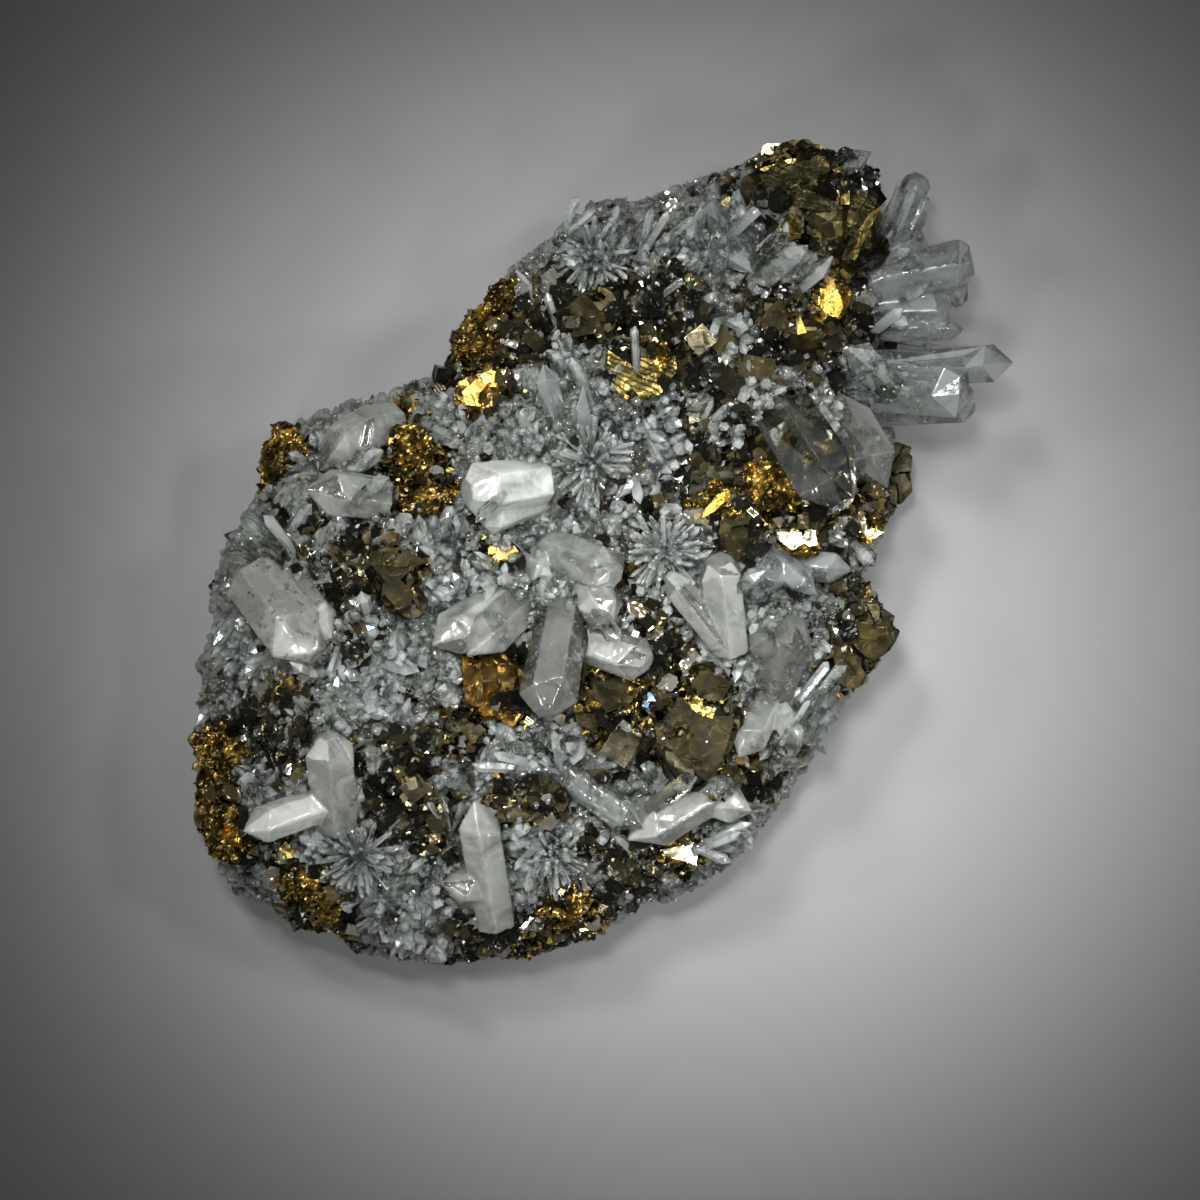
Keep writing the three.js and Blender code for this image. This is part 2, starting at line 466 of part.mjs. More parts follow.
function pyriteCube({ at, side }, extra) {
  const size = side + 2 * extra;
  const turn = new THREE.Euler(0.5 * chance(at[0]), 0.5 * chance(at[1]), 3 * chance(side + at[0]));
  const cube = new THREE.BoxGeometry(size, size, size).applyQuaternion(new THREE.Quaternion().setFromEuler(turn));
  return toSolid(cube.translate(at[0], at[1], topHeight(...at) + side / 4));
}

// Every crystal is cut off where it meets the rock and the crystals placed before it, a gap short of them.
function buildSpecimen() {
  const rock = (extra) => rockBody(extra).add(joined(rockGrains(extra)));
  const meshes = [toMesh("rock", rock(0), COLOURS.rock)];
  let taken = rock(GAP);
  const place = (clusters, make, look) => {
    for (const cluster of clusters) {
      meshes.push(toMesh(cluster.name, largestPiece(make(cluster, 0).subtract(taken)), look));
      taken = taken.add(make(cluster, GAP));
    }
  };
  place(QUARTZ, quartzCluster, COLOURS.quartz);
  place(CHALCOPYRITE, chalcopyriteCluster, COLOURS.brass);
  place(PYRITE, pyriteCube, COLOURS.pyrite);
  return meshes;
}

const specimen = new THREE.Group();
specimen.add(...buildSpecimen());
const box = new THREE.Box3().setFromObject(specimen);
const middle = box.getCenter(new THREE.Vector3());
specimen.position.set(-middle.x, -middle.y, -box.min.z);

export default specimen;
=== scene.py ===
import bpy
import bmesh
import numpy as np
from mathutils.bvhtree import BVHTree
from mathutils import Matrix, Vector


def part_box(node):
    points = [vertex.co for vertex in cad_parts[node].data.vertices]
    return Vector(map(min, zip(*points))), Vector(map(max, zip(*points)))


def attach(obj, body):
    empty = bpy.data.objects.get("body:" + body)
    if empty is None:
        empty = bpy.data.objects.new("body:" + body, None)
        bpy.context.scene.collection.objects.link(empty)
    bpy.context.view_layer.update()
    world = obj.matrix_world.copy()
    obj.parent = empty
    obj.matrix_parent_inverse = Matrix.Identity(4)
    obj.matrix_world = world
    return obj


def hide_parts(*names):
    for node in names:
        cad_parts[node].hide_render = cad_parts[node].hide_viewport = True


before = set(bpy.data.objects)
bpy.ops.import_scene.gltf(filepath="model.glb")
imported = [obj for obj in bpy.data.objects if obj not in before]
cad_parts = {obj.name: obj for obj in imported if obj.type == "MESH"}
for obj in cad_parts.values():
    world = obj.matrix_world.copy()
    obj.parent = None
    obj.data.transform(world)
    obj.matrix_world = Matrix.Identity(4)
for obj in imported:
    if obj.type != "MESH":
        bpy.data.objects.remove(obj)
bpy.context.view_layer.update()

mm = 0.001

# the face is laid out in view pixels, ten to a millimetre, measured from the box's middle
viewGrid = {"pixelsPerMetre": 10000, "middle": (600.9, 552.1)}


def place(px, py):  # view pixels to metres across the face
    x = (np.asarray(px, float) - viewGrid["middle"][0]) / viewGrid["pixelsPerMetre"]
    y = (viewGrid["middle"][1] - np.asarray(py, float)) / viewGrid["pixelsPerMetre"]
    return x, y


def unit(vectors):
    # vectors divided by their own lengths
    return vectors / np.maximum(np.linalg.norm(vectors, axis=-1, keepdims=True), 1e-12)


def discAround(x, y, disc):
    # squared distances of places from the middle of a disc given in view pixels, and its squared radius
    px, py, radius = disc
    cx, cy = place(px, py)
    return (x - cx) ** 2 + (y - cy) ** 2, (radius / viewGrid["pixelsPerMetre"]) ** 2


def leaning(lean, towards):
    # unit vectors that lean from straight up towards a direction on the ground, both in radians
    return np.stack([np.sin(lean) * np.cos(towards), np.sin(lean) * np.sin(towards), np.cos(lean)], axis=-1)


def between(limits, share):
    # a share of the way from the first limit to the second
    return limits[0] + (limits[1] - limits[0]) * share


def joinParts(parts):
    # several (points, triangles) made one, and any further arrays of theirs joined
    points, tris, *values = zip(*parts)
    starts = np.cumsum([0, *map(len, points)])
    moved = [faces + start for faces, start in zip(tris, starts)]
    return np.vstack(points), np.vstack(moved), *map(np.concatenate, values)


def readRows(items, field, kind=float):
    # one field of a mesh's points or triangles, three numbers to a row
    numbers = np.empty(len(items) * 3, dtype=kind)
    items.foreach_get(field, numbers)
    return numbers.reshape(-1, 3)


snapGrid = 1e-6  # corners nearer than this are one


def readTriangles(node):
    # a node's corners and triangles, with corners that share a place joined
    mesh = node.data
    mesh.calc_loop_triangles()
    points = readRows(mesh.vertices, "co")
    tris = readRows(mesh.loop_triangles, "vertices", np.int64)
    snapped = np.round(points / snapGrid).astype(np.int64)
    _, first, back = np.unique(snapped, axis=0, return_index=True, return_inverse=True)
    joined = back.ravel()[tris]
    whole = (joined != np.roll(joined, 1, axis=1)).all(axis=1)
    return points[first], joined[whole]


nodeForms = {name: readTriangles(node) for name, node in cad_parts.items()}
nodeOrder = list(nodeForms)

survey = {"step": 0.3 * mm, "rayTop": 0.2}
allCorners = np.vstack([corners for corners, _ in nodeForms.values()])
surveyX, surveyY = (
    np.arange(allCorners[:, axis].min(), allCorners[:, axis].max() + survey["step"], survey["step"])
    for axis in range(2))


def treeOf(points, tris):
    # a surface that rays can be cast at
    return BVHTree.FromPolygons(points.tolist(), tris.tolist())


def heightsOver(tree, x, y, bare):
    # heights of a surface met from straight above, and one given height where there is none
    hits = [tree.ray_cast((a, b, survey["rayTop"]), (0, 0, -1))[0] for a, b in zip(x, y)]
    return np.array([hit.z if hit else bare for hit in hits])


def surveyHeights(names):
    # heights of some nodes on an even grid over the whole face; below the ground where bare
    x, y = np.meshgrid(surveyX, surveyY, indexing="ij")
    tree = treeOf(*joinParts([nodeForms[name] for name in names]))
    return heightsOver(tree, x.ravel(), y.ravel(), -mm).reshape(x.shape)


def heightAt(heights, x, y):
    # a survey's height at the grid point nearest to each place
    i = np.clip(((x - surveyX[0]) / survey["step"]).round().astype(int), 0, len(surveyX) - 1)
    j = np.clip(((y - surveyY[0]) / survey["step"]).round().astype(int), 0, len(surveyY) - 1)
    return heights[i, j]


topSurvey = surveyHeights(nodeOrder)
rockSurvey = surveyHeights(["rock"])
print("survey", topSurvey.shape)


def aboveRock(points):
    # heights of points above the rock under them
    return points[:, 2] - heightAt(rockSurvey, points[:, 0], points[:, 1])


# where each mineral grows: patches as (x, y, radius) in view pixels
mineralPatches = {
    "quartz": [
        (235, 640, 55), (225, 700, 35), (360, 690, 60), (410, 530, 32), (580, 235, 55), (545, 262, 30),
        (250, 890, 32), (808, 750, 28), (730, 830, 40), (330, 440, 48), (432, 435, 32), (580, 460, 65),
        (560, 400, 42), (605, 380, 30), (645, 440, 42), (680, 560, 45), (560, 560, 60), (455, 620, 50),
        (500, 590, 35), (345, 845, 50), (300, 790, 45), (500, 860, 42), (545, 860, 40), (430, 900, 42),
        (392, 910, 32), (540, 770, 58), (600, 790, 38), (670, 795, 48), (470, 775, 38), (740, 600, 55),
        (790, 650, 50), (775, 700, 45), (930, 230, 55), (950, 300, 55), (960, 380, 60), (880, 430, 36),
        (720, 240, 42), (718, 318, 20), (735, 345, 36), (650, 235, 48), (785, 262, 32), (270, 545, 42),
        (270, 600, 55), (865, 545, 26), (700, 415, 30), (660, 462, 24), (500, 480, 45), (330, 500, 34),
        (415, 660, 34), (325, 620, 26), (790, 400, 45), (860, 400, 40), (762, 842, 26), (705, 888, 24),
        (660, 922, 24), (805, 792, 26), (640, 938, 18)],
    "sulphide": [
        (850, 160, 34), (872, 190, 24), (768, 205, 20), (820, 250, 20), (350, 575, 42), (385, 548, 30),
        (300, 520, 26), (275, 735, 38), (258, 690, 26), (665, 300, 42), (605, 300, 34), (690, 365, 50),
        (765, 350, 48), (720, 455, 42), (655, 515, 34), (865, 290, 40), (880, 335, 30), (625, 765, 36),
        (590, 840, 36), (850, 580, 28), (903, 505, 18), (560, 290, 26), (400, 785, 40), (372, 800, 34),
        (555, 905, 34), (480, 948, 40), (330, 930, 34), (640, 880, 28), (765, 785, 22), (900, 455, 26),
        (340, 610, 38), (830, 480, 40), (700, 480, 40), (420, 820, 34), (840, 345, 36), (530, 350, 30),
        (730, 540, 28), (300, 860, 30), (660, 650, 36), (640, 600, 26)],
    "gold": [
        (790, 170, 30), (790, 230, 24), (865, 235, 24), (480, 335, 32), (515, 298, 20), (285, 432, 20),
        (274, 455, 20), (262, 476, 14), (300, 470, 18), (405, 428, 20), (396, 452, 22), (425, 456, 26),
        (448, 455, 16), (412, 482, 26), (436, 490, 20), (402, 502, 16), (212, 745, 26), (210, 775, 22),
        (204, 815, 20), (216, 840, 24), (300, 890, 18), (318, 918, 24), (335, 938, 18), (642, 365, 42),
        (782, 482, 55), (800, 466, 34), (400, 580, 30), (500, 680, 46), (612, 695, 42), (450, 750, 40),
        (700, 730, 58), (518, 808, 42), (688, 855, 28), (555, 905, 24), (590, 932, 26), (525, 952, 24),
        (830, 665, 32), (876, 630, 34), (624, 575, 16), (350, 748, 15), (375, 790, 16), (600, 318, 28),
        (290, 680, 24), (870, 520, 22), (825, 300, 28), (490, 388, 26), (500, 555, 22)],
}
# backShares: away from every patch, as on the walls and the back; patchDepth: the height in mm above the
# ground under which the patches fade out down the walls; clumps in mm
mineralSpread = {
    "backShares": {"quartz": 0.16, "sulphide": 0.2, "gold": 0.07}, "patchDepth": 11,
    "broadClump": 3.4, "smallClump": 1.5, "smallShare": 0.7, "clumping": 0.75}


waveSpread = (0.6, 1.3)  # how far the waves of one field differ from its size


def waves(points, size, seed, count=6):
    # a smooth field from about -1 to 1: plane waves of about one size in seeded directions, added up
    choose = np.random.default_rng(seed)
    headings = unit(choose.normal(size=(count, 3))) / size * 2 * np.pi
    headings = headings * choose.uniform(*waveSpread, (count, 1))
    phases = choose.uniform(0, 2 * np.pi, count)
    return np.sin(points @ headings.T + phases).sum(axis=1) / np.sqrt(2 * count)


def mineralShares(points):
    # each mineral's share at points in space: bell-shaped patches that fade down the walls, over an even
    # ground, broken into clumps and summed to 1
    shares = {}
    x, y = points[:, 0], points[:, 1]
    fade = np.clip(points[:, 2] / (mineralSpread["patchDepth"] * mm), 0, 1) ** 2
    for seed, (mineral, patches) in enumerate(mineralPatches.items()):
        field = np.full(np.shape(x), mineralSpread["backShares"][mineral])
        for patch in patches:
            apart, limit = discAround(x, y, patch)
            field += fade * np.exp(-apart / limit)
        clumps = waves(points, mineralSpread["broadClump"] * mm, 40 + seed)
        clumps += mineralSpread["smallShare"] * waves(points, mineralSpread["smallClump"] * mm, 50 + seed)
        shares[mineral] = (field * np.exp(mineralSpread["clumping"] * clumps)) ** 2
    total = sum(shares.values())
    return {mineral: field / total for mineral, field in shares.items()}


def cellRandom(cells, seed):
    # a repeatable number from 0 to 1 for each whole-number cell
    mixed = (cells[..., 0] * 73856093) ^ (cells[..., 1] * 19349663) ^ (cells[..., 2] * 83492791)
    mixed = mixed ^ (seed * 2654435)
    mixed = (mixed ^ (mixed >> 13)) * 1274126177
    return ((mixed ^ (mixed >> 16)) & 0xFFFFFF) / 0xFFFFFF


def chips(points, size, tilt, seed):
    # broken facets: each point takes the height of the tilted plane of its nearest cell centre
    base = np.floor(points / size).astype(np.int64)
    nearest = np.full(len(points), np.inf)
    height = np.zeros(len(points))
    for step in np.ndindex(3, 3, 3):
        cell = base + np.array(step) - 1
        centre = np.stack([cell[:, axis] + cellRandom(cell, seed + axis) for axis in range(3)], axis=1) * size
        away = points - centre
        distance = (away ** 2).sum(axis=1)
        slope = np.stack([cellRandom(cell, seed + 3 + axis) - 0.5 for axis in range(3)], axis=1)
        plane = 2 * tilt * (away * slope).sum(axis=1) + size * 0.5 * (cellRandom(cell, seed + 7) - 0.5)
        closer = distance < nearest
        nearest = np.where(closer, distance, nearest)
        height = np.where(closer, plane, height)
    return height


def facings(points, tris):
    # each triangle's normal, as long as twice its area
    a, b, c = (points[tris[:, k]] for k in range(3))
    return np.cross(b - a, c - a)


def pointNormals(points, tris):
    # each point's normal, averaged over its triangles by their areas
    facing = facings(points, tris)
    normals = np.zeros_like(points)
    for k in range(3):
        np.add.at(normals, tris[:, k], facing)
    return unit(normals)


dressed = []  # points and triangles of the rock's and the masses' own surfaces


def addObject(name, data):
    made = bpy.data.objects.new(name, data)
    bpy.context.scene.collection.objects.link(made)
    return made


def addPiece(name, mesh, replaced=()):
    # a mesh as a piece of the one body, instead of the solids it replaces
    piece = addObject(name, mesh)
    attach(piece, "root")
    if replaced:
        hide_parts(*replaced)
    return piece


def makePiece(name, points, tris, look, slot, replaced=(), smooth=False, marks=None, faceMarks=None):
    # arrays put into a mesh, with nothing under the ground, and its marks as attributes
    points = np.maximum(points, [-np.inf, -np.inf, 0])
    if slot != "quartz" and replaced:
        dressed.append((points, tris))
    mesh = bpy.data.meshes.new(name)
    mesh.vertices.add(len(points))
    mesh.vertices.foreach_set("co", np.ascontiguousarray(points, dtype=np.float32).ravel())
    mesh.loops.add(len(tris) * 3)
    mesh.loops.foreach_set("vertex_index", np.ascontiguousarray(tris, dtype=np.int32).ravel())
    mesh.polygons.add(len(tris))
    mesh.polygons.foreach_set("loop_start", np.arange(0, len(tris) * 3, 3, dtype=np.int32))
    mesh.polygons.foreach_set("use_smooth", np.full(len(tris), smooth))
    mesh.update(calc_edges=True)
    for domain, named in (("POINT", marks or {}), ("FACE", faceMarks or {})):
        for title, numbers in named.items():
            layer = mesh.attributes.new(title, "FLOAT", domain)
            layer.data.foreach_set("value", np.asarray(numbers, np.float32))
    mesh.materials.append(finishes[look])
    print(name, len(tris), "triangles")
    return addPiece(name, mesh, replaced)


def wearEdges(piece, width, segments):
    # narrow facets, their width in mm, along every edge that bends by more than the limit in radians
    bevel = piece.modifiers.new("worn edges", "BEVEL")
    bevel.width = width * mm
    bevel.segments = segments
    bevel.limit_method = "ANGLE"
    bevel.angle_limit = 0.4


def sideFrames(axes, roll):
    # two directions square to each axis, turned about it by roll
    helper = np.where(np.abs(axes[:, 2:3]) < 0.9, [[0, 0, 1.0]], [[1.0, 0, 0]])
    across = unit(np.cross(axes, helper))
    over = np.cross(axes, across)
    return (across * np.cos(roll)[:, None] + over * np.sin(roll)[:, None],
            over * np.cos(roll)[:, None] - across * np.sin(roll)[:, None])


prismShape = {
    # shares of a crystal's width; tipMost is a share of its length, and sideTones are steps in tone
    "taper": 0.88, "flat": (0.7, 1.0), "tip": (0.7, 1.5), "tipMost": 0.6, "uneven": (-0.3, 0.3),
    "tipLean": (-0.14, 0.14), "sideTones": (-0.3, 0.3)}


def crystalPrisms(roots, axes, lengths, widths, chance, tipShare, taper):
    # six-sided crystals: a root ring, a shoulder ring with corners at uneven heights, and a tip off the axis
    count = len(roots)
    across, over = sideFrames(axes, chance.uniform(0, np.pi, count))
    around = (np.arange(6) * np.pi / 3)[None, :, None]
    flat = chance.uniform(*prismShape["flat"], (count, 1, 1))
    ring = np.cos(around) * across[:, None] + flat * np.sin(around) * over[:, None]
    radius = widths[:, None, None] / 2
    tipLength = tipShare * widths * chance.uniform(*prismShape["tip"], count)
    tipLength = np.minimum(tipLength, prismShape["tipMost"] * lengths)
    uneven = chance.uniform(*prismShape["uneven"], (count, 6)) * widths[:, None]
    sideLength = (lengths - tipLength)[:, None]
    shoulder = sideLength + uneven * np.minimum(1, sideLength / widths[:, None]) * 0.5
    low = roots[:, None] + taper * radius * ring
    high = roots[:, None] + radius * ring + shoulder[..., None] * axes[:, None]
    lean = chance.uniform(*prismShape["tipLean"], (count, 2)) * widths[:, None]
    tip = roots + axes * lengths[:, None] + across * lean[:, :1] + over * lean[:, 1:]
    points = np.concatenate([low, high, tip[:, None]], axis=1)
    k = np.arange(6)
    n = (k + 1) % 6
    sides = np.concatenate([np.stack([k, n, n + 6], 1), np.stack([k, n + 6, k + 6], 1)])
    ends = np.stack([k + 6, n + 6, np.full(6, 12)], 1)
    faces = np.concatenate([sides, ends, [[0, 2, 1], [0, 3, 2], [0, 4, 3], [0, 5, 4]]])
    tris = (faces[None] + 13 * np.arange(count)[:, None, None]).reshape(-1, 3)
    return points.reshape(-1, 3), tris


def makePrisms(name, roots, axes, lengths, widths, chance, style, replaced=()):
    # one piece of prisms: each side a little clearer or milkier than the next, its tip faces in between,
    # and a mark on its root ring that fades out at its shoulder, where the finish clears the glass and paints
    # shade
    count = len(roots)
    taper = style.get("taper", prismShape["taper"])
    points, tris = crystalPrisms(roots, axes, lengths, widths, chance, style["tip"], taper)
    tones = chance.uniform(*style["tones"], count)
    sides = tones[:, None] + chance.uniform(*prismShape["sideTones"], (count, 6))
    ends = np.repeat(tones[:, None], 4, axis=1)
    marks = style["root"] * np.tile(np.repeat([1.0, 0.0], [6, 7]), count)
    return makePiece(name, points, tris, "prism", "quartz", replaced, marks={"root": marks},
                     faceMarks={"tone": np.concatenate([sides, sides, sides, ends], axis=1).ravel()})


def randomTurns(count, chance):
    # turning matrices from even random quaternions
    w, x, y, z = unit(chance.normal(size=(count, 4))).T
    return np.stack([
        1 - 2 * (y * y + z * z), 2 * (x * y - z * w), 2 * (x * z + y * w),
        2 * (x * y + z * w), 1 - 2 * (x * x + z * z), 2 * (y * z - x * w),
        2 * (x * z - y * w), 2 * (y * z + x * w), 1 - 2 * (x * x + y * y)], axis=1).reshape(-1, 3, 3)


def shapeArrays(shape):
    # a bmesh's points and triangles
    bmesh.ops.triangulate(shape, faces=shape.faces[:])
    shape.verts.index_update()
    points = np.array([vert.co[:] for vert in shape.verts])
    return points, np.array([[vert.index for vert in face.verts] for face in shape.faces])


def hullOf(corners):
    # the triangles of a convex form's hull, facing out
    shape = bmesh.new()
    for corner in corners:
        shape.verts.new(corner)
    bmesh.ops.convex_hull(shape, input=shape.verts)
    points, tris = shapeArrays(shape)
    shape.free()
    inward = (facings(points, tris) * points[tris].mean(axis=1)).sum(axis=1) < 0
    tris[inward] = tris[inward][:, ::-1]
    return points, tris


cubeForm = hullOf([(x, y, z) for x in (-1, 1) for y in (-1, 1) for z in (-1, 1)])
octahedronForm = hullOf([(1.3, 0, 0), (-1.3, 0, 0), (0, 1.3, 0), (0, -1.3, 0), (0, 0, 1.3), (0, 0, -1.3)])
cutCubeForm = hullOf([  # a cube with its corners cut off
    tuple(1.1 * np.roll((x, y, 0.35 * z), turn))
    for x in (-1, 1) for y in (-1, 1) for z in (-1, 1) for turn in range(3)])
wedgeForm = hullOf([  # a tetrahedron with its corners cut off
    tuple(1.25 * np.array(sign) * [1 if axis == k else 0.45 for axis in range(3)])
    for sign in ((1, 1, 1), (-1, -1, 1), (-1, 1, -1), (1, -1, -1)) for k in range(3)])

golden = (1 + 5 ** 0.5) / 2
grainForm = hullOf([  # an icosahedron
    tuple(0.6 * np.roll((0, y, golden * z), turn)) for y in (-1, 1) for z in (-1, 1) for turn in range(3)])


grainStretch = (0.7, 1.15)  # how each grain is drawn out along its three axes


def scatterForm(form, centres, sizes, chance, turns=None, wobble=0.12):
    # copies of one small form, each turned, stretched and slightly bent out of true
    points, faces = form
    count = len(centres)
    turns = randomTurns(count, chance) if turns is None else turns
    stretch = sizes[:, None] * chance.uniform(*grainStretch, (count, 3))
    corners = points[None] * (1 + chance.uniform(-wobble, wobble, (count, len(points), 1))) * stretch[:, None]
    placed = np.einsum("nij,nkj->nki", turns, corners) + centres[:, None]
    tris = (faces[None] + len(points) * np.arange(count)[:, None, None]).reshape(-1, 3)
    return placed.reshape(-1, 3), tris, len(points)


def scatterKinds(forms, kinds, centres, sizes, chance, tones, wobble=0.12, toneBias=1):
    # several forms scattered, each over the places of its number, and each copy with its own tone
    parts = []
    for number, form in enumerate(forms):
        chosen = kinds == number
        corners, faces, each = scatterForm(form, centres[chosen], sizes[chosen], chance, wobble=wobble)
        shades = chance.uniform(*tones, chosen.sum()) ** toneBias
        parts.append((corners, faces, np.repeat(shades, each)))
    return joinParts(parts)


def scatterOver(points, tris, count, chance):
    # seeds spread evenly by area over a surface, each with its triangle's normal
    corner, second, third = (points[tris[:, k]] for k in range(3))
    facing = facings(points, tris)
    area = np.linalg.norm(facing, axis=1)
    pick = np.searchsorted(np.cumsum(area), chance.uniform(0, area.sum(), count))
    pick = np.minimum(pick, len(tris) - 1)
    u, v = chance.uniform(0, 1, (2, count))
    flip = u + v > 1
    u, v = np.where(flip, 1 - u, u), np.where(flip, 1 - v, v)
    seeds = corner[pick] + (second - corner)[pick] * u[:, None] + (third - corner)[pick] * v[:, None]
    return seeds, unit(facing[pick])


def scatterPerMm2(points, tris, perMm2, chance):
    # seeds over a surface, as many as its area in square millimetres times their density
    area = np.linalg.norm(facings(points, tris), axis=1).sum() / 2 / mm ** 2
    return scatterOver(points, tris, int(area * perMm2), chance)


class Wire:  # one output of a node; arithmetic on it adds Math nodes to the same finish
    def __init__(self, finish, socket):
        self.finish = finish
        self.socket = socket

    def sum(self, operation, left, right):
        return self.finish.node("ShaderNodeMath", {"operation": operation}, {0: left, 1: right})

    def __add__(self, other):
        return self.sum("ADD", self, other)

    def __radd__(self, other):
        return self.sum("ADD", other, self)

    def __sub__(self, other):
        return self.sum("SUBTRACT", self, other)

    def __rsub__(self, other):
        return self.sum("SUBTRACT", other, self)

    def __mul__(self, other):
        return self.sum("MULTIPLY", self, other)

    def __rmul__(self, other):
        return self.sum("MULTIPLY", other, self)


class Finish:  # a material being wired up
    def __init__(self, name):
        self.material = bpy.data.materials.new(name)
        self.material.use_nodes = True
        self.tree = self.material.node_tree
        self.tree.nodes.clear()
        self.out = self.tree.nodes.new("ShaderNodeOutputMaterial")
        self.object = self.node("ShaderNodeTexCoord", output="Object")

    def node(self, kind, settings={}, inputs={}, output=0):
        made = self.tree.nodes.new(kind)
        for name, value in settings.items():
            if name == "stops":
                ramp = made.color_ramp.elements
                while len(ramp) < len(value):
                    ramp.new(0.5)
                for element, (position, colour) in zip(ramp, value):
                    element.position = position
                    element.color = (*colour, 1)
            else:
                setattr(made, name, value)
        for name, value in inputs.items():
            if isinstance(value, Wire):
                self.tree.links.new(value.socket, made.inputs[name])
            else:
                made.inputs[name].default_value = value
        return Wire(self, made.outputs[output])

    def noise(self, perMetre, detail=3, roughness=0.55, distortion=0.0):
        return self.node("ShaderNodeTexNoise", {}, {
            "Vector": self.object, "Scale": perMetre, "Detail": detail, "Roughness": roughness,
            "Distortion": distortion}, "Fac")

    def cells(self, perMetre, output="Color"):
        return self.node("ShaderNodeTexVoronoi", {}, {"Vector": self.object, "Scale": perMetre}, output)

    def bands(self, perMetre, distortion, profile="SAW"):
        return self.node("ShaderNodeTexWave", {
            "wave_type": "BANDS", "bands_direction": "DIAGONAL", "wave_profile": profile}, {
            "Vector": self.object, "Scale": perMetre, "Distortion": distortion, "Detail": 3,
            "Detail Scale": 1.4}, "Fac")

    def ramp(self, wire, stops):
        return self.node("ShaderNodeValToRGB", {"stops": stops}, {"Fac": wire}, "Color")

    def grade(self, wire, low, high, start=0.0, end=1.0):
        return self.node("ShaderNodeMapRange", {"clamp": True}, {
            "Value": wire, "From Min": low, "From Max": high, "To Min": start, "To Max": end}, "Result")

    def mix(self, share, first, second):
        one = first if isinstance(first, Wire) else (*first, 1)
        two = second if isinstance(second, Wire) else (*second, 1)
        return self.node("ShaderNodeMix", {"data_type": "RGBA"}, {0: share, 6: one, 7: two}, 2)

    def value(self, name):
        return self.node("ShaderNodeAttribute", {"attribute_name": name}, {}, "Fac")

    def bump(self, height, distance, strength=1.0, normal=None):
        inputs = {"Height": height, "Distance": distance, "Strength": strength}
        if normal:
            inputs["Normal"] = normal
        return self.node("ShaderNodeBump", {}, inputs, "Normal")

    def vectors(self, operation, inputs):
        return self.node("ShaderNodeVectorMath", {"operation": operation}, inputs, "Vector")

    def glitter(self, perMetre, amount):
        # the surface's own normal with a small fixed tilt in every cell
        normal = self.node("ShaderNodeNewGeometry", {}, {}, "Normal")
        tilt = self.vectors("SUBTRACT", {0: self.cells(perMetre), 1: (0.5, 0.5, 0.5)})
        tilted = self.vectors("ADD", {0: normal, 1: self.vectors("SCALE", {0: tilt, "Scale": amount})})
        return self.vectors("NORMALIZE", {0: tilted})

    def shader(self, inputs):
        return self.node("ShaderNodeBsdfPrincipled", {}, inputs, "BSDF")

    def surface(self, colour, rough, metallic, normal):
        return self.finish(self.shader({
            "Base Color": colour, "Roughness": rough, "Metallic": metallic, "Normal": normal}))

    def finish(self, shader):
        self.tree.links.new(shader.socket, self.out.inputs["Surface"])
        return self.material


def rockFinish():
    # granular dark sulphide: small tilted mirrors, brown and brassy where gold grows, under quartz dust
    m = Finish("darkSulphideRock")
    grain = m.cells(900)
    dark = m.ramp(grain, [
        (0.3, (0.021, 0.021, 0.017)), (0.5, (0.05, 0.049, 0.038)), (0.66, (0.105, 0.1, 0.072)),
        (0.8, (0.32, 0.31, 0.27))])
    brassy = m.ramp(grain, [
        (0.3, (0.04, 0.033, 0.013)), (0.5, (0.11, 0.086, 0.032)), (0.66, (0.34, 0.26, 0.08)),
        (0.8, (0.8, 0.6, 0.2))])
    goldShare = m.grade(m.value("gold") * 1.2 + m.noise(420, 3) * 0.8, 0.75, 0.95)
    dust = m.grade(m.value("quartz") + m.noise(650, 4) * 0.7, 0.55, 0.85, 0.0, 0.95)
    glass = m.mix(m.noise(600, 5, 0.65), (0.17, 0.183, 0.163), (0.33, 0.355, 0.32))
    colour = m.mix(dust, m.mix(goldShare, dark, brassy), glass)
    rough = m.grade(m.cells(1300), 0.3, 0.7, 0.1, 0.34)
    return m.surface(colour, rough, m.grade(dust, 0.0, 0.8, 0.7, 0.0), m.glitter(2400, 1.0))


def sulphideFinish():
    # galena, sphalerite and tarnished grains: mostly brown black, some bronze, a few bright lead grey
    m = Finish("galenaCrystals")
    colour = m.ramp(m.value("tone"), [
        (0.0, (0.014, 0.014, 0.012)), (0.5, (0.04, 0.038, 0.028)), (0.78, (0.12, 0.1, 0.05)),
        (0.9, (0.3, 0.24, 0.12)), (0.96, (0.62, 0.61, 0.55))])
    rough = m.grade(m.noise(700, 3), 0.3, 0.7, 0.04, 0.2)
    return m.surface(colour, rough, 0.65, m.bump(m.noise(1100, 3), 0.05 * mm, 0.5, m.glitter(2600, 0.3)))


